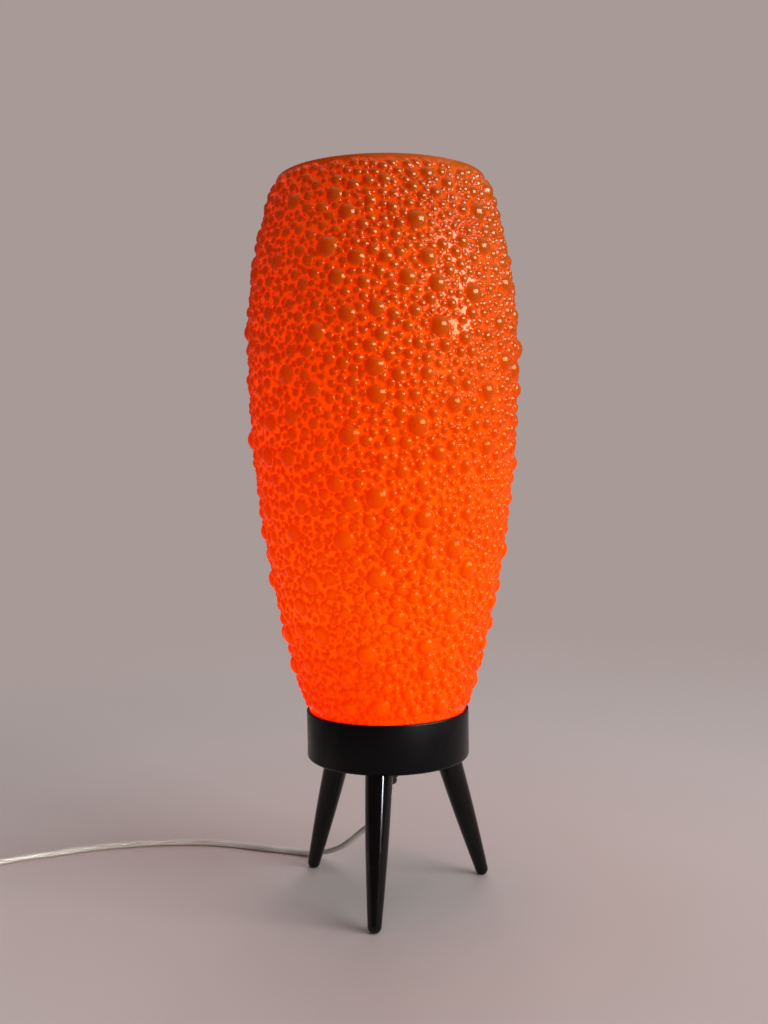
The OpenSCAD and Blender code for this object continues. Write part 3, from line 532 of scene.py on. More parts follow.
def append(bm, other):
    """Move one mesh into another."""
    mesh = new_mesh("moved", other)
    bm.from_mesh(mesh)
    bpy.data.meshes.remove(mesh)


def fused(bm, others):
    """Union of a closed mesh with other closed meshes."""
    whole = new_object("whole", new_mesh("whole", bm))
    for other in others:
        addition = new_object("addition", other)
        union = whole.modifiers.new("union", "BOOLEAN")
        union.operation = "UNION"
        union.solver = "MANIFOLD"
        union.object = addition
        graph = bpy.context.evaluated_depsgraph_get()
        result = bpy.data.meshes.new_from_object(whole.evaluated_get(graph))
        whole.modifiers.clear()
        whole.data = result
        bpy.data.objects.remove(addition)
    bm = bmesh.new()
    bm.from_mesh(whole.data)
    bpy.data.objects.remove(whole)
    return bm


def arc(centre, radius, start, end, steps):
    """Points of an arc in a plane, angles in degrees."""
    turns = [math.radians(start + (end - start) * i / steps) for i in range(steps + 1)]
    return [(centre[0] + radius * math.cos(t), centre[1] + radius * math.sin(t)) for t in turns]


# Shade

# Bubbles: tries, seed, least and greatest radius and gap in millimetres, and overlap as a share of a radius.
# The solids have the main bubbles too, and lack the fillers.
MAIN_BUBBLES = [(260, 4711, 4.6, 6.3, 3, 0), (2200, 1234567, 3, 4.1, 0.25, 0), (4000, 999, 2.2, 3, 0.25, 0)]
FILLERS = [(24000, 777, 2.4, 3.5, 0, 0.36), (24000, 31337, 2, 2.5, 0, 0.27)]
# Rings and sides of a bubble's mesh, after the least radius in millimetres that has them
BUBBLE_MESHES = [(4.6, 4, 14), (3.4, 3, 10), (2.5, 2, 7), (0, 2, 6)]
# Bends of an edge past which it shows as a crease or as a sharp edge
CREASE_BEND = -math.radians(24)
EDGE_BEND = math.radians(60)


class ShadeForm:
    """The bare wall: two arcs that meet upright at the belly."""

    def __init__(self, settings):
        self.belly_r = SHADE_HI.x
        self.belly_z = settings.belly_height
        self.top_z = SHADE_HI.z
        self.shoulder_z = DRUM_HI.z + settings.shoulder_gap
        self.low = self.arc_radius(self.belly_z - self.shoulder_z, self.belly_r - settings.foot_radius)
        self.high = self.arc_radius(self.top_z - self.belly_z, self.belly_r - settings.top_radius)

    @staticmethod
    def arc_radius(rise, draw):
        return (rise * rise + draw * draw) / (2 * draw)

    def arc(self, z):
        return self.low if z < self.belly_z else self.high

    def radius(self, z):
        bow = self.arc(z)
        return self.belly_r - bow + math.sqrt(bow * bow - (z - self.belly_z) ** 2)

    def seat(self, turn, z):
        """Frame on the wall whose Z axis points straight out of it."""
        lean = math.asin((z - self.belly_z) / self.arc(z))
        place = Matrix.Translation((self.radius(z) * math.cos(turn), self.radius(z) * math.sin(turn), z))
        return place @ rotation(turn, "Z") @ rotation(math.pi / 2 - lean, "Y")


class Bubbles:
    """Bubbles scattered by a seeded draw. Each is as large as its draw and its neighbours allow."""

    MODULUS = 2147483647
    FACTOR = 48271
    CELL = 14 * MM
    # A bubble is thickest from this share of its radius up, and the thicker the wider it is
    FULL_HEIGHT = 0.5
    LEAST_FULL = 0.6
    FULL_PER_MM = 0.1

    def __init__(self, form, settings):
        self.form = form
        self.settings = settings
        self.kept = {}

    def draw(self, seed):
        return seed * self.FACTOR % self.MODULUS

    def cell(self, place):
        return tuple(int(c // self.CELL) for c in place)

    def near(self, cells, place):
        """Bubbles in the cells round a place."""
        x, y, z = self.cell(place)
        steps = (-1, 0, 1)
        beside = [(x + i, y + j, z + k) for i in steps for j in steps for k in steps]
        return [bubble for cell in beside for bubble in cells.get(cell, ())]

    def scatter(self, tries, seed, least, most, gap, overlap, main):
        """Try places for bubbles, which keep a gap from a neighbour or overlap a share of its radius."""
        smallest = least * MM
        largest = most * MM
        low = self.form.shoulder_z + (self.settings.foot_band if main else self.settings.fill_band)
        high = self.form.top_z - (self.settings.top_band if main else self.settings.fill_band)
        for _ in range(tries):
            first = self.draw(seed)
            second = self.draw(first)
            seed = self.draw(second)
            wish = smallest + (largest - smallest) * seed / self.MODULUS
            z = low + smallest + (high - low - 2 * smallest) * second / self.MODULUS
            seat = self.form.seat(math.tau * first / self.MODULUS, z)
            place = seat.translation
            near = self.near(self.kept, place)
            rooms = [(place - b[0]).length - (1 - overlap) * b[1] - gap * MM for b in near]
            radius = min([wish, z - low, high - z] + [(1 + overlap / 2) * room for room in rooms])
            if radius >= smallest:
                self.kept.setdefault(self.cell(place), []).append((place, radius, seat, main))

    def spread(self, amount):
        """Widen the bubbles kept so far."""
        for cell, bubbles in self.kept.items():
            self.kept[cell] = [(place, radius + amount, seat, main) for place, radius, seat, main in bubbles]

    def thickness(self, place, proud):
        """How thick the plastic is where it stands proud: near 1 on top of a bubble, less on a small one."""
        near = self.near(self.kept, place) if proud > 0 else []
        if not near:
            return 0.0
        radius = min(near, key=lambda b: (place - b[0]).length / b[1])[1]
        full = min(self.LEAST_FULL + self.FULL_PER_MM * radius / MM, 1.0)
        return min(proud / (self.FULL_HEIGHT * radius), 1.0) * full

    def layers(self):
        """The bubbles in layers within which none meet, so that each layer can be fused at once."""
        layers = []
        for bubble in [b for cell in self.kept.values() for b in cell]:
            for layer in layers:
                if all((bubble[0] - b[0]).length > bubble[1] + b[1] for b in self.near(layer, bubble[0])):
                    break
            else:
                layer = {}
                layers.append(layer)
            layer.setdefault(self.cell(bubble[0]), []).append(bubble)
        return [[b for cell in layer.values() for b in cell] for layer in layers]


def bubble_mesh(settings, radius, main):
    """Closed cap of a ball, with fewer faces the smaller it is."""
    rise = radius * (settings.rise if main else settings.fill_rise)
    sink = settings.sink if main else settings.fill_sink
    _, rings, sides = next(kind for kind in BUBBLE_MESHES if radius >= kind[0] * MM)
    height = rise + sink
    ball = (radius * radius + height * height) / (2 * height)
    half = math.acos((ball - height) / ball)
    turns = [half * i / rings for i in range(rings + 1)]
    outline = [(ball * math.sin(turn), ball * (math.cos(turn) - 1) + rise) for turn in turns]
    return new_mesh("bubble", spun(outline + [(0, -sink)], sides, closed=False))


def layer_mesh(settings, layer, stock):
    """All the bubbles of one layer in one mesh."""
    bm = bmesh.new()
    for _, radius, seat, main in layer:
        kind = (round(radius / MM, 1), main)
        if kind not in stock:
            stock[kind] = bubble_mesh(settings, kind[0] * MM, main)
        bubble = stock[kind].copy()
        bubble.transform(seat)
        bm.from_mesh(bubble)
        bpy.data.meshes.remove(bubble)
    return new_mesh("layer", bm)


def shade_shell(settings, form):
    """The bare shell: wall, rim and the collar that drops into the drum."""
    outer_steps = 26
    inner_steps = 16
    tall = form.top_z - form.shoulder_z
    outer = [form.shoulder_z + tall * i / outer_steps for i in range(outer_steps + 1)]
    inner = [form.top_z - tall * i / inner_steps for i in range(inner_steps + 1)]
    outline = [(settings.collar_radius, SHADE_LO.z), (settings.collar_radius, form.shoulder_z)]
    outline += [(form.radius(z), z) for z in outer]
    top = len(outline) - 1
    outline += [(form.radius(z) - settings.wall, z) for z in inner]
    outline += [(settings.collar_radius - settings.wall, SHADE_LO.z)]
    return spun(outline, 96, rounds={top: settings.rim_round, top + 1: settings.rim_round})


class LAMP_OT_shade(bpy.types.Operator):
    """Mould the shade in one with its bubbles"""

    bl_idname = "lamp.shade"
    bl_label = "Shade"

    def execute(self, context):
        settings = context.scene.lamp_shade
        form = ShadeForm(settings)
        bubbles = Bubbles(form, settings)
        for kind in MAIN_BUBBLES:
            bubbles.scatter(*kind, main=True)
        bubbles.spread(settings.spread)
        for kind in FILLERS:
            bubbles.scatter(*kind, main=False)
        stock = {}
        layers = [layer_mesh(settings, layer, stock) for layer in bubbles.layers()]
        bm = fused(shade_shell(settings, form), layers)
        self.mark_creases(bm, bubbles, form.top_z - settings.fill_band)
        for face in bm.faces:
            middle = face.calc_center_median()
            wall = form.radius(max(middle.z, form.shoulder_z)) - settings.wall / 2
            face.material_index = 1 if math.hypot(middle.x, middle.y) < wall else 0
        finishes = [shade_polystyrene(settings, "translucent_orange_polystyrene", False),
                    shade_polystyrene(settings, "lit_orange_polystyrene", True)]
        nodes = ["shade", "shade_bubbles"]
        new_piece("bubble_shade", bm, "shade", finishes, nodes, sharp=None)
        return {"FINISHED"}

    def mark_creases(self, bm, bubbles, rim):
        """Keep creases sharp, and give each point its thickness: 0 on the wall, 1 on a tall bubble or rim."""
        dome = bm.verts.layers.float.new("dome")
        form = bubbles.form
        for point in bm.verts:
            height = min(max(point.co.z, form.shoulder_z), form.top_z)
            proud = math.hypot(point.co.x, point.co.y) - form.radius(height)
            point[dome] = 1.0 if height > rim else bubbles.thickness(point.co, proud)
        for edge in bm.edges:
            bend = edge.calc_face_angle_signed(0)
            edge.smooth = CREASE_BEND < bend < EDGE_BEND
            if bend <= CREASE_BEND:
                for point in edge.verts:
                    point[dome] = 0.0


# Drum and legs


def leg_frame(foot, settings):
    """Frame of a leg, whose Z axis runs up it from the middle of the foot's ball, and that ball's height."""
    turn = math.atan2(foot.y, foot.x)
    ball_height = math.sqrt(settings.leg_tip_radius ** 2 - settings.foot_flat ** 2)
    place = Matrix.Translation((math.hypot(foot.x, foot.y), 0, ball_height))
    return rotation(turn, "Z") @ place @ rotation(-settings.leg_lean, "Y"), ball_height


class LAMP_OT_drum(bpy.types.Operator):
    """Mould the drum with its ledge and the bosses for the legs"""

    bl_idname = "lamp.drum"
    bl_label = "Drum"

    def execute(self, context):
        settings = context.scene.lamp_base
        outer = DRUM_HI.x
        bore = outer - settings.drum_wall
        ledge = bore - settings.ledge_width
        floor = DRUM_LO.z + settings.drum_floor
        ledge_z = DRUM_HI.z - settings.ledge_depth
        hole = NIPPLE_HI.x + 1.65 * MM
        outline = [
            (hole, DRUM_LO.z), (outer, DRUM_LO.z), (outer, DRUM_HI.z), (bore, DRUM_HI.z), (bore, ledge_z),
            (ledge, ledge_z), (ledge, floor), (hole, floor),
        ]
        soft = settings.rim_round
        bm = spun(outline, 128, rounds={1: settings.edge_round, 2: soft, 3: soft, 5: soft, 6: 2 * soft})
        bosses = []
        for foot in ("front_foot", "right_foot", "left_foot"):
            axis, ball_height = leg_frame(MOUNTS[foot], settings)
            start = (DRUM_LO.z - ball_height) / math.cos(settings.leg_lean)
            end = (floor - ball_height) / math.cos(settings.leg_lean) + settings.boss_height
            outline = [(0, start), (settings.boss_radius, start), (settings.boss_radius, end), (0, end)]
            boss = spun(outline, 40, closed=False, rounds={2: soft})
            move(boss, axis)
            trim(boss, (0, 0, DRUM_LO.z + settings.drum_floor / 2), (0, 0, -1))
            bosses.append(new_mesh("boss", boss))
        bm = fused(bm, bosses)
        finish = solid("satin_black_polystyrene", settings.drum_black)
        new_piece("drum", bm, "base", [finish], ["base_drum"])
        return {"FINISHED"}


class LAMP_OT_legs(bpy.types.Operator):
    """Turn the three tapered legs and set them at their lean"""

    bl_idname = "lamp.legs"
    bl_label = "Legs"

    def execute(self, context):
        settings = context.scene.lamp_base
        finish = solid("black_lacquered_beech", settings.leg_black)
        rings = 18
        for side in ("front", "right", "left"):
            axis, ball_height = leg_frame(MOUNTS[side + "_foot"], settings)
            run = (DRUM_LO.z - ball_height) / math.cos(settings.leg_lean)
            taper = settings.leg_top_radius - settings.leg_tip_radius
            outline = arc((0, 0), settings.leg_tip_radius, -90, -8, 8)
            for i in range(rings + 1):
                share = i / rings
                swell = settings.leg_swell * math.sin(math.pi * share)
                outline.append((settings.leg_tip_radius + taper * share + swell, run * share))
            end = run + settings.leg_top_radius
            outline += [(settings.leg_top_radius, end), (0, end)]
            bm = spun(outline, 48, closed=False)
            move(bm, axis)
            trim(bm, (0, 0, DRUM_LO.z), (0, 0, 1))
            trim(bm, (0, 0, 0), (0, 0, -1))
            new_piece("turned_leg_" + side, bm, "base", [finish], ["leg_" + side])
        finish_nodes(solid("zinc_plated_steel"), "leg_studs", "leg_washers", "leg_nuts")
        return {"FINISHED"}


# Lampholder and bulb


class LAMP_OT_lampholder(bpy.types.Operator):
    """Press the lampholder's cap and beaded skirt, and finish its inner parts"""

    bl_idname = "lamp.lampholder"
    bl_label = "Lampholder"

    def execute(self, context):
        settings = context.scene.lamp_light
        finish = solid("pressed_phenolic", settings.bakelite)
        gap = 0.15 * MM
        radius = HOLDER_CAP_HI.x
        bore = NIPPLE_HI.x + gap
        wall = 2.5 * MM
        bottom = HOLDER_CAP_LO.z
        top = HOLDER_CAP_HI.z
        lip = top - 3 * MM
        neck = 9 * MM
        floor = bottom + 7.5 * MM
        outline = [
            (bore, bottom), (neck, bottom), (neck, bottom + 5 * MM), (radius, bottom + 12 * MM),
            (radius, top), (radius - wall, top), (radius - wall, lip), (radius - 2 * wall, lip),
            (radius - 2 * wall, bottom + 13.4 * MM), (bore + 3 * MM, floor), (bore, floor),
        ]
        bm = spun(outline, 72, rounds={1: 0.6 * MM, 2: 1.5 * MM, 3: 1.5 * MM, 4: 0.4 * MM})
        new_piece("holder_cap_moulding", bm, "base", [finish], ["holder_cap"])

        bead_middle = radius - 0.3 * MM
        beads = [SKIRT_LO.z + up * MM for up in (6, 10, 14)] + [SKIRT_HI.z - settings.bead]
        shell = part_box("holder_shell")[1].x + gap
        seat = SKIRT_LO.z + 8 * MM
        outline = [(radius - wall, SKIRT_LO.z), (radius, SKIRT_LO.z)]
        for bead in beads:
            outline += [(radius, bead - settings.bead)]
            outline += arc((bead_middle, bead), settings.bead, -70, 70, 6)
            outline += [(radius, bead + settings.bead)]
        outline += [(shell, SKIRT_HI.z), (shell, seat), (radius - wall, seat)]
        bm = spun(outline, 72, rounds={1: 0.4 * MM})
        new_piece("holder_skirt_moulding", bm, "base", [finish], ["holder_skirt"])

        finish_nodes(solid("glazed_porcelain"), "holder_insert")
        finish_nodes(solid("bare_brass"), "holder_shell", "holder_tongue", "terminal_screws")
        finish_nodes(solid("zinc_plated_steel"), "nipple")
        finish_nodes(solid("blue_wire_pvc"), "lead_wires")
        return {"FINISHED"}


class LAMP_OT_bulb(bpy.types.Operator):
    """Blow the bulb's glass, roll its screw cap and finish what is inside"""

    bl_idname = "lamp.bulb"
    bl_label = "Bulb"

    def execute(self, context):
        settings = context.scene.lamp_light
        self.glass(settings)
        self.cap(settings)
        finish_nodes(solid("black_glass"), "bulb_insulator")
        finish_nodes(solid("zinc_plated_steel"), "bulb_contact", "bulb_leads")
        finish_nodes(solid("clear_stem_glass"), "bulb_stem")
        finish_nodes(tungsten(), "bulb_filament")
        return {"FINISHED"}

    def glass(self, settings):
        """Hollow glass: a neck in the cap, a cone, and a globe that the cone's side touches."""
        globe = BULB_HI.x
        centre = BULB_HI.z - globe
        glass = 0.7 * MM
        neck = BULB_CAP_HI.x - 0.65 * MM
        shoulder = 14.6 * MM
        shoulder_z = BULB_CAP_HI.z + 6 * MM
        away = Vector((shoulder, centre - shoulder_z))
        touch = math.degrees(math.acos(globe / away.length) + math.atan2(away.x, away.y))
        outer = [(neck, BULB_LO.z), (neck, BULB_CAP_HI.z), (shoulder, shoulder_z)]
        outer += arc((0, centre), globe, -90 + touch, 90, 26)
        inner = [(max(r - glass, 0), z if r > neck else z + glass) for r, z in outer[:-1]]
        inner += [(0, BULB_HI.z - glass)]
        bm = spun([(0, BULB_LO.z)] + outer, 64, closed=False, rounds={1: 1 * MM, 2: 3 * MM, 3: 4 * MM})
        inside = spun([(0, BULB_LO.z + glass)] + inner, 64, closed=False)
        bmesh.ops.reverse_faces(inside, faces=inside.faces)
        append(bm, inside)
        new_piece("pearl_bulb_glass", bm, "bulb", [frosted_glass(settings)], ["bulb_glass"])

    def cap(self, settings):
        """Screw cap of thin metal, its thread drawn as rings."""
        crest = BULB_CAP_HI.x
        root = crest - settings.thread_depth
        plain = 3 * MM
        metal = 0.6 * MM
        hole = 9 * MM
        skin = 0.5 * MM
        bottom = BULB_CAP_LO.z
        top = BULB_CAP_HI.z
        thread_lo = bottom + plain
        thread_hi = top - plain
        per_turn = 8
        steps = round((thread_hi - thread_lo) / settings.thread_pitch) * per_turn
        outline = [(hole, bottom), (root - metal, bottom)]
        for i in range(steps + 1):
            out = 0.5 - 0.5 * math.cos(math.tau * i / per_turn)
            outline.append((root + (crest - root) * out, thread_lo + (thread_hi - thread_lo) * i / steps))
        outline += [
            (crest, thread_hi + 0.8 * MM), (crest, top), (crest - skin, top), (root - skin, thread_hi),
            (root - skin, bottom + metal), (hole, bottom + metal),
        ]
        bm = spun(outline, 64, rounds={1: 0.4 * MM})
        finish = solid("rolled_aluminium")
        new_piece("threaded_bulb_cap", bm, "bulb", [finish], ["bulb_cap"])


# Cord

# Route of the cord from the grip to the switch, in metres
CORD_ROUTE = [
    (0, 0, 0.0615), (0, 0, 0.0585), (-0.0005, 0.0005, 0.0525), (-0.002, 0.0025, 0.0465),
    (-0.0045, 0.0055, 0.0415), (-0.008, 0.0095, 0.0365), (-0.012, 0.0145, 0.0315), (-0.0165, 0.0195, 0.0265),
    (-0.0215, 0.0255, 0.0205), (-0.0275, 0.0325, 0.014), (-0.033, 0.039, 0.0095), (-0.0385, 0.0455, 0.006),
    (-0.045, 0.0515, 0.0032), (-0.053, 0.056, 0.002), (-0.063, 0.06, 0.0017), (-0.083, 0.067, 0.0017),
    (-0.103, 0.074, 0.0017), (-0.123, 0.078, 0.0017), (-0.155, 0.0775, 0.0017), (-0.185, 0.0715, 0.0017),
    (-0.208, 0.0625, 0.0017), (-0.225, 0.056, 0.0017), (-0.241, 0.0475, 0.0017), (-0.25, 0.0415, 0.0018),
    (-0.2575, 0.034, 0.0024), (-0.263, 0.025, 0.0038), (-0.2656, 0.0175, 0.005), (-0.266, 0.012, 0.0055),
]

# The coil beside the switch: the cord's way in and out, with its roll in degrees
COIL_MIDDLE = (-0.324, -0.043)
COIL_WAY_IN = [
    (-0.266, -0.05, 0.0055, 0), (-0.266, -0.056, 0.005, 0), (-0.267, -0.064, 0.0042, 20),
    (-0.271, -0.0715, 0.0038, 40), (-0.279, -0.078, 0.0037, 60), (-0.29, -0.081, 0.0037, 80),
    (-0.304, -0.0815, 0.00365, 90), (-0.324, -0.0815, 0.00365, 90),
]
COIL_WAY_OUT = [
    (-0.3625, -0.043, 0.00965, 90), (-0.3625, -0.034, 0.00945, 80), (-0.3625, -0.024, 0.008, 45),
    (-0.3625, -0.016, 0.00705, 10), (-0.3625, -0.01, 0.00685, 0), (-0.3625, -0.004, 0.00685, 0),
]


def smooth_route(points, steps):
    """Points of a smooth curve through a list of points, each span cut into steps."""
    points = [Vector(p) for p in points]
    padded = [2 * points[0] - points[1]] + points + [2 * points[-1] - points[-2]]
    route = []
    for a, b, c, d in zip(padded, padded[1:], padded[2:], padded[3:]):
        for k in (i / steps for i in range(steps)):
            bend = (2 * a - 5 * b + 4 * c - d) + k * (3 * b - a - 3 * c + d)
            route.append(b + 0.5 * k * ((c - a) + k * bend))
    return route + [points[-1]]


def coil_route(settings):
    """The coil spirals in on the floor, climbs a layer in a half turn and spirals out again."""
    step = settings.thickness + settings.turn_gap
    half = settings.coil_turns / 2
    low = COIL_WAY_IN[-1][2]
    high = COIL_WAY_OUT[0][2]
    inner = settings.coil_radius - step * (half + 0.5)
    per_turn = 40

    def ease(k):
        k = min(max(k, 0), 1)
        return k * k * (3 - 2 * k)

    def radius(t):
        if t < half + 0.5:
            return settings.coil_radius - step * t
        if t < half + 1:
            return inner + 1.5 * step * ease(2 * (t - half - 0.5))
        return settings.coil_radius - step * (settings.coil_turns - t)

    turns = []
    for i in range(1, round(settings.coil_turns * per_turn)):
        t = i / per_turn
        turn = -math.pi / 2 - math.tau * t
        x = COIL_MIDDLE[0] + radius(t) * math.cos(turn)
        y = COIL_MIDDLE[1] + radius(t) * math.sin(turn)
        turns.append(Vector((x, y, low + (high - low) * ease(2 * (t - half)), 90)))
    return smooth_route(COIL_WAY_IN, 4) + turns + smooth_route(COIL_WAY_OUT, 4)


def cord_frames(route, across):
    """A frame at each point of a route: Z along the cord, X across its width, turned by the point's roll."""
    steep = 0.05
    frames = []
    for i, point in enumerate(route):
        ahead = route[min(i + 1, len(route) - 1)]
        behind = route[max(i - 1, 0)]
        along = (ahead.to_3d() - behind.to_3d()).normalized()
        level = Vector((-along.y, along.x, 0))
        if level.length > steep:
            across = level.normalized()
        side = (across - along * across.dot(along)).normalized()
        up = along.cross(side)
        turned = Matrix((side, up, along)).transposed().to_4x4()
        roll = math.radians(point[3]) if len(point) > 3 else 0
        frames.append(Matrix.Translation(point.to_3d()) @ turned @ rotation(roll, "Z"))
    return frames


def swept_cord(route, settings, sides=16):
    """Flat cord with round edges, drawn along a route by extruding its section."""
    bm = bmesh.new()
    bmesh.ops.create_circle(bm, segments=sides, radius=settings.thickness / 2)
    spread = (settings.width - settings.thickness) / 2
    for point in bm.verts:
        if abs(point.co.x) > WELD / 10:
            point.co.x += math.copysign(spread, point.co.x)
    frames = cord_frames(route, Vector((-math.sin(settings.exit_turn), math.cos(settings.exit_turn), 0)))
    move(bm, frames[0])
    ring = bm.edges[:]
    for last, now in zip(frames, frames[1:]):
        grown = bmesh.ops.extrude_edge_only(bm, edges=ring)
        points = new_points(grown)
        edges = [part for part in grown["geom"] if isinstance(part, bmesh.types.BMEdge)]
        ring = [edge for edge in edges if all(v in points for v in edge.verts)]
        bmesh.ops.transform(bm, matrix=now @ last.inverted(), verts=points)
    fill_holes(bm)
    return bm


class LAMP_OT_cord_grip(bpy.types.Operator):
    """Mould the cord grip under the drum, with its clamp screw and the cord inside it"""

    bl_idname = "lamp.cord_grip"
    bl_label = "Cord grip"

    def execute(self, context):
        settings = context.scene.lamp_cord
        flange = GRIP_HI.x
        flange_z = DRUM_LO.z - 3 * MM
        hole = settings.width / 2 + 0.3 * MM
        bore = NIPPLE_HI.x + 0.15 * MM
        spigot = NIPPLE_HI.x + 1.5 * MM
        nose = 4.4 * MM
        root = spigot + 1 * MM
        # A rib's outline, out from the skin and up from its start, in millimetres
        rib = [(0, 0), (-0.6, 0.4), (-0.5, 1.2), (0.4, 1.6)]
        ribs = 4
        pitch = 2.6 * MM
        outline = [(hole, GRIP_LO.z), (nose, GRIP_LO.z)]
        for i in range(ribs):
            start = GRIP_LO.z + 2 * MM + i * pitch
            share = (start - GRIP_LO.z) / (flange_z - GRIP_LO.z)
            skin = nose + (root - nose) * share
            outline += [(skin + out * MM, start + up * MM) for out, up in rib]
        ring = len(outline)
        outline += [
            (root, flange_z), (flange, flange_z), (flange, DRUM_LO.z), (spigot, DRUM_LO.z),
            (spigot, GRIP_HI.z), (bore, GRIP_HI.z), (bore, NIPPLE_LO.z), (hole, NIPPLE_LO.z),
        ]
        bm = spun(outline, 48, rounds={1: 0.5 * MM, ring + 1: 0.8 * MM})
        new_piece("ribbed_cord_grip", bm, "base", [solid("black_nylon")], ["cord_grip"])
        finish_nodes(solid("natural_nylon"), "grip_screw")
        route = [Vector((0, 0, INNER_CORD_HI.z)), Vector((0, 0, INNER_CORD_LO.z))]
        finish = solid("off_white_cord_pvc", settings.cord_white)
        new_piece("cord_in_grip", swept_cord(route, settings), "base", [finish], ["inner_cord"])
        return {"FINISHED"}


class LAMP_OT_cords(bpy.types.Operator):
    """Lay the cord from the grip to the switch, and the coil from there to the plug"""

    bl_idname = "lamp.cords"
    bl_label = "Cord and coil"

    def execute(self, context):
        settings = context.scene.lamp_cord
        finish = solid("off_white_cord_pvc", settings.cord_white)
        run = smooth_route(CORD_ROUTE, 5)
        bm = swept_cord(run, settings)
        piece = new_piece("flat_cord", bm, "base", [finish], ["cord_run"])
        coil = coil_route(settings)
        tie = coil_tie(settings)
        bm = swept_cord(coil, settings)
        piece = new_piece("coiled_cord", bm, "base", [finish], ["cord_coil"])
        return {"FINISHED"}


def coil_tie(settings):
    """Band of tape round one side of the coil."""
    bm = bmesh.new()
    inset = settings.tie_thickness / 2
    left = TIE_LO.x + inset
    right = TIE_HI.x - inset
    bottom = TIE_LO.z + inset
    top = TIE_HI.z - inset
    corners = [(left, bottom), (right, bottom), (right, top), (left, top)]
    points = [bm.verts.new((x, TIE_LO.y, z)) for x, z in corners]
    edges = [bm.edges.new(pair) for pair in zip(points, points[1:] + points[:1])]
    far = new_points(bmesh.ops.extrude_edge_only(bm, edges=edges))
    bmesh.ops.translate(bm, verts=far, vec=(0, TIE_HI.y - TIE_LO.y, 0))
    long_edges = [e for e in bm.edges if abs(e.verts[0].co.y - e.verts[1].co.y) > 1 * MM]
    round_edges(bm, long_edges, 2 * MM, 5)
    face_out(bm)
    bmesh.ops.solidify(bm, geom=bm.faces[:], thickness=settings.tie_thickness)
    middle = sum((v.co for v in bm.verts), Vector()) / len(bm.verts)
    centre = Vector((0.5 * (TIE_LO.x + TIE_HI.x), middle.y, 0.5 * (TIE_LO.z + TIE_HI.z)))
    bmesh.ops.translate(bm, verts=bm.verts, vec=centre - middle)
    return new_piece("hook_tape_tie", bm, "base", [solid("black_hook_tape")], ["cord_tie"])


# Cord switch and plug


def boat_outline(half_length, half_width, half_end, steps):
    """Outline between two shallow arcs with blunt ends."""
    bow = half_width - half_end
    radius = (half_length ** 2 + bow ** 2) / (2 * bow)
    reach = math.degrees(math.asin(half_length / radius))
    side = arc((0, half_width - radius), radius, 90 + reach, 90 - reach, steps)
    return side + [(-x, -y) for x, y in side]


def prism(outline, bottom, top):
    """Straight-sided block on an outline."""
    bm = bmesh.new()
    base = bm.faces.new([bm.verts.new((x, y, bottom)) for x, y in outline])
    raised = new_points(bmesh.ops.extrude_face_region(bm, geom=[base]))
    bmesh.ops.translate(bm, verts=raised, vec=(0, 0, top - bottom))
    face_out(bm)
    return bm


def level_edges(bm, z):
    """Edges that lie at one height."""
    flush = 0.01 * MM
    return [e for e in bm.edges if all(abs(v.co.z - z) < flush for v in e.verts)]


def cut_opening(bm, half_x, half_y):
    """Cut a rectangular opening straight through a block."""
    for sign in (1, -1):
        cut(bm, (sign * half_x, 0, 0), (sign, 0, 0))
    for sign in (1, -1):
        cut(bm, (0, sign * half_y, 0), (0, sign, 0))
    middles = [(face, face.calc_center_median()) for face in bm.faces]
    inside = [face for face, middle in middles if abs(middle.x) < half_x and abs(middle.y) < half_y]
    bmesh.ops.delete(bm, geom=inside, context="FACES")
    bmesh.ops.bridge_loops(bm, edges=open_edges(bm))
    face_out(bm)


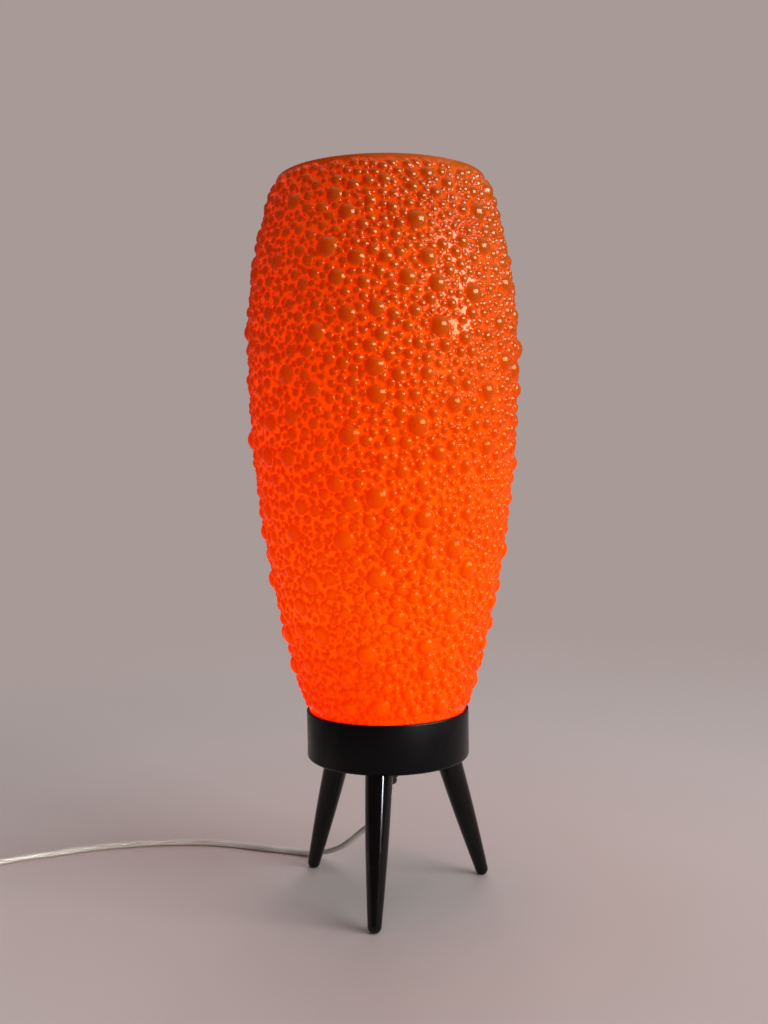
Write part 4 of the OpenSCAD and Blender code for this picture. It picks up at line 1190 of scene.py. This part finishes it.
class LAMP_OT_switch(bpy.types.Operator):
    """Mould the cord switch: two shells and the rocker"""

    bl_idname = "lamp.switch"
    bl_label = "Cord switch"

    def execute(self, context):
        settings = context.scene.lamp_cord
        self.shells(settings)
        self.rocker(settings)
        finish_nodes(solid("bare_brass"), "switch_bridge", "switch_contacts", "switch_terminals")
        finish_nodes(solid("zinc_plated_steel"), "switch_screws")
        return {"FINISHED"}

    def shells(self, settings):
        """Lower shell, and the upper one with its opening for the rocker."""
        finish = solid("off_white_abs", settings.switch_white)
        middle = (LOWER_LO + LOWER_HI) / 2
        seat = Matrix.Translation((middle.x, middle.y, 0)) @ rotation(-math.pi / 2, "Z")
        outline = boat_outline((LOWER_HI.y - LOWER_LO.y) / 2, (LOWER_HI.x - LOWER_LO.x) / 2, 8 * MM, 18)
        seam = 0.35 * MM

        bm = prism(outline, LOWER_LO.z, LOWER_HI.z)
        round_edges(bm, level_edges(bm, LOWER_LO.z), 1.2 * MM, 4)
        round_edges(bm, level_edges(bm, LOWER_HI.z), seam, 2)
        move(bm, seat)
        new_piece("switch_lower_moulding", bm, "base", [finish], ["switch_lower_shell"])

        bm = prism(outline, LOWER_HI.z, UPPER_HI.z)
        # Bend at the corners of the blunt ends, in radians
        corner = 0.5
        upright = [e for e in sharp_edges(bm, corner) if abs(e.verts[0].co.z - e.verts[1].co.z) > 1 * MM]
        round_edges(bm, level_edges(bm, UPPER_HI.z) + upright, settings.shell_round, 5)
        round_edges(bm, level_edges(bm, LOWER_HI.z), seam, 2)
        gap = settings.rocker_gap
        cut_opening(bm, settings.rocker_radius + gap, settings.rocker_width / 2 + gap)
        move(bm, seat)
        new_piece("switch_upper_moulding", bm, "base", [finish], ["switch_upper_shell"])

    def rocker(self, settings):
        """Rocker with a dished top and a stem, drawn from the side about its pivot and tipped."""
        tilt = math.radians(10)
        end = settings.rocker_radius
        half = settings.rocker_width / 2
        top = 5.2 * MM
        under = -0.5 * MM
        stem_half = 2.5 * MM
        stem_end = -3.5 * MM
        reach = math.degrees(math.asin(top / end))
        right = arc((0, 0), end, math.degrees(math.asin(under / end)), reach, 6)
        dish = [(0.5 * end, 4.1 * MM), (0, 3.6 * MM), (-0.5 * end, 4.1 * MM)]
        left = [(-x, z) for x, z in reversed(right)]
        stem = [(-stem_half, under), (-stem_half, stem_end), (stem_half, stem_end), (stem_half, under)]
        bm = prism(right + dish + left + stem, -half, half)
        round_edges(bm, level_edges(bm, half) + level_edges(bm, -half), 0.4 * MM, 3)
        pivot = Matrix.Translation(Vector(JOINTS["switch_rock"]["pos_m"]))
        move(bm, pivot @ rotation(-math.pi / 2, "Z") @ rotation(tilt, "Y") @ rotation(math.pi / 2, "X"))
        finish = solid("ivory_abs")
        new_piece("switch_rocker_moulding", bm, "rocker", [finish], ["switch_rocker"])


class LAMP_OT_plug(bpy.types.Operator):
    """Mould the flat plug and turn its pins"""

    bl_idname = "lamp.plug"
    bl_label = "Plug"

    SLEEVE = 10 * MM

    def execute(self, context):
        settings = context.scene.lamp_cord
        face = PLUG_HI.y - self.SLEEVE
        bm = self.body(settings, face - PLUG_LO.y)
        pins = bmesh.new()
        for name in ("plug_pin_left", "plug_pin_right"):
            place = Matrix.Translation((MOUNTS[name].x, face, MOUNTS[name].z))
            axis = place @ rotation(-math.pi / 2, "X")
            for whole, turned in zip((bm, pins), self.pin(PINS_HI.y - face)):
                move(turned, axis)
                append(whole, turned)
        finish = solid("off_white_plug_pvc", settings.cord_white)
        new_piece("plug_moulding", bm, "base", [finish], ["plug_body"])
        new_piece("plug_pins_turned", pins, "base", [solid("bare_brass")], ["plug_pins"])
        return {"FINISHED"}

    def body(self, settings, size):
        """Flat body, waisted for the fingers and thinner towards the cord."""
        half = (PLUG_HI.x - PLUG_LO.x) / 2
        thick = PLUG_HI.z - PLUG_LO.z
        thin = 8 * MM
        middle = (PLUG_LO + PLUG_HI) / 2
        tail = 5.5 * MM
        finger = 14 * MM
        # Shares of the body's length between which it thickens
        start, end = 0.3, 0.8
        waist = arc((0.28 * size, tail + finger), finger, -120, -45, 10)
        side = [(0, tail)] + waist + [(0.82 * size, half), (size, half)]
        bm = prism(side + [(x, -y) for x, y in reversed(side)], -thick / 2, thick / 2)
        for share in (start, end):
            cut(bm, (share * size, 0, 0), (1, 0, 0))
        for point in bm.verts:
            share = min(max((point.co.x / size - start) / (end - start), 0), 1)
            point.co.z *= (thin + (thick - thin) * share) / thick
        round_edges(bm, sharp_edges(bm, math.radians(35)), settings.plug_round, 4)
        move(bm, Matrix.Translation((middle.x, PLUG_LO.y, middle.z)) @ rotation(math.pi / 2, "Z"))
        return bm

    def pin(self, reach):
        """A sleeve, and the pin that stands out of it."""
        sleeve = self.SLEEVE
        thin = 1.75 * MM
        foot = -1 * MM
        core = 1.5 * MM
        core_end = sleeve - 2 * MM
        thick = 2 * MM
        outline = [(0, foot), (thin, foot), (thin, sleeve), (0, sleeve)]
        soft = spun(outline, 28, closed=False, rounds={2: 0.2 * MM})
        outline = [(0, core_end), (core, core_end), (core, sleeve)]
        outline += [(thick, sleeve), (thick, reach), (0, reach)]
        return soft, spun(outline, 28, closed=False, rounds={3: 0.2 * MM, 4: 1.1 * MM})


# Stage


class LAMP_OT_stage(bpy.types.Operator):
    """Lay the pale floor, hang the soft lights and set the camera"""

    bl_idname = "lamp.stage"
    bl_label = "Stage"

    def execute(self, context):
        settings = context.scene.lamp_stage
        self.floor(settings)
        self.world(settings)
        self.light("window", (1.27, -0.67, 0.69), (1.0, 0.45), 11.5, "#FFFFFF")
        self.light("glint", (1.28, -0.68, 0.8), (1.3, 0.7), 85, "#FFF4F0").visible_diffuse = False
        self.light("top", (0.3, 0.2, 2.4), (3.0, 3.0), 24, "#FFFFFF")
        self.light("fill", (0.2, 1.8, 1.1), (1.4, 1.0), 9, "#FFFFFF").visible_glossy = False
        # A slim strip for the streak on the lacquered legs
        strip = self.light("strip", (0.83, -1.15, 0.3), (0.2, 0.22), 0.04, "#F2F6FF", (0, -0.04, 0.05))
        strip.visible_diffuse = False
        strip.data.spread = math.radians(8)
        # A narrow low lamp for the side of the cord
        low = self.light("low", (0.6, -1.2, 0.14), (0.3, 0.1), 0.24, "#FFFFFF", (-0.3, -0.1, 0))
        low.visible_glossy = False
        low.data.spread = math.radians(20)
        self.camera(settings)
        context.scene.view_settings.view_transform = "Standard"
        return {"FINISHED"}

    def floor(self, settings):
        """Pale floor that fades into the background away from the lamp."""
        bm = bmesh.new()
        bmesh.ops.create_circle(bm, segments=96, radius=settings.floor_radius, cap_ends=True)
        floor = new_object("floor", new_mesh("floor", bm))
        floor.location.z = -0.2 * MM
        made, tree, shader = new_material("pale_floor", Roughness=0.9, Specular_IOR_Level=0.0)
        place = object_place(tree)
        cloud = noise(tree, place, 200, 3.0)
        feed(tree, shader, Base_Color=mixed(tree, cloud, settings.floor_pale, "#D8CCC9"))
        away = add(tree, "VectorMath", {0: place}, out="Value", operation="LENGTH")
        fade = ranged(tree, away, 0.2, 1.0, kind="SMOOTHSTEP")
        share = maths(tree, "MULTIPLY", fade, self.seen(tree))
        plain = add(tree, "Emission", {"Color": settings.background})
        both = add(tree, "MixShader", {0: share, 1: shader.outputs[0], 2: plain})
        feed(tree, tree.nodes["Material Output"], Surface=both)
        floor.data.materials.append(made)

    def seen(self, tree):
        """1 where the surface is looked at straight or through glass, a quarter of that in a reflection."""
        path = add(tree, "LightPath").node.outputs
        clear = maths(tree, "MAXIMUM", path["Is Camera Ray"], path["Is Transmission Ray"])
        return maths(tree, "MAXIMUM", clear, maths(tree, "MULTIPLY", path["Is Glossy Ray"], 0.25))

    def world(self, settings):
        """Pale background for the eye, soft dim light for the object."""
        world = bpy.data.worlds.new("studio")
        world.use_nodes = True
        bpy.context.scene.world = world
        tree = world.node_tree
        light = tree.nodes["Background"]
        light.inputs["Color"].default_value = linear("#E8E6E4")
        light.inputs["Strength"].default_value = 0.03
        pale = add(tree, "Background", {"Color": settings.background})
        both = add(tree, "MixShader", {0: self.seen(tree), 1: light.outputs[0], 2: pale})
        feed(tree, tree.nodes["World Output"], Surface=both)

    def light(self, name, place, size, power, code, target=(0, 0, 0.2)):
        """Soft rectangular lamp that faces a target, such as the middle of the lamp."""
        data = bpy.data.lights.new(name, "AREA")
        data.shape = "RECTANGLE"
        data.size, data.size_y = size
        data.energy = power
        data.color = linear(code)[:3]
        lamp = new_object(name, data)
        lamp.visible_camera = False
        lamp.location = place
        aim = Vector(target) - Vector(place)
        lamp.rotation_euler = aim.to_track_quat("-Z", "Y").to_euler()
        return lamp

    def camera(self, settings):
        """Camera at its place, tilted and rolled."""
        data = bpy.data.cameras.new("view")
        data.sensor_fit = "AUTO"
        data.sensor_width = 36
        data.lens = settings.lens
        view = new_object("view", data)
        aim = rotation(math.pi / 2 - settings.camera_pitch, "X") @ rotation(settings.camera_roll, "Z")
        view.matrix_world = Matrix.Translation(settings.camera_place) @ aim
        bpy.context.scene.camera = view


SETTINGS = {
    "lamp_shade": ShadeSettings,
    "lamp_base": BaseSettings,
    "lamp_light": LightSettings,
    "lamp_cord": CordSettings,
    "lamp_stage": StageSettings,
}
OPERATORS = [
    LAMP_OT_stage, LAMP_OT_switch, LAMP_OT_plug, LAMP_OT_cord_grip, LAMP_OT_cords, LAMP_OT_drum, LAMP_OT_legs,
    LAMP_OT_lampholder, LAMP_OT_bulb, LAMP_OT_shade,
]


class LAMP_PT_builder(bpy.types.Panel):
    """Lists the lamp's pieces in the order they are built"""

    bl_idname = "LAMP_PT_builder"
    bl_label = "Bubble lamp"
    bl_space_type = "VIEW_3D"
    bl_region_type = "UI"
    bl_category = "Lamp"

    def draw(self, context):
        for operator in OPERATORS:
            self.layout.operator(operator.bl_idname)


def register():
    for group in SETTINGS.values():
        bpy.utils.register_class(group)
    for name, group in SETTINGS.items():
        setattr(bpy.types.Scene, name, PointerProperty(type=group))
    for kind in OPERATORS + [LAMP_PT_builder]:
        bpy.utils.register_class(kind)


def unregister():
    for kind in reversed(OPERATORS + [LAMP_PT_builder]):
        bpy.utils.unregister_class(kind)
    for name in SETTINGS:
        delattr(bpy.types.Scene, name)
    for group in SETTINGS.values():
        bpy.utils.unregister_class(group)


def main():
    register()
    for operator in OPERATORS:
        group, name = operator.bl_idname.split(".")
        getattr(getattr(bpy.ops, group), name)()
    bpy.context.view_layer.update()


if __name__ == "__main__":
    main()
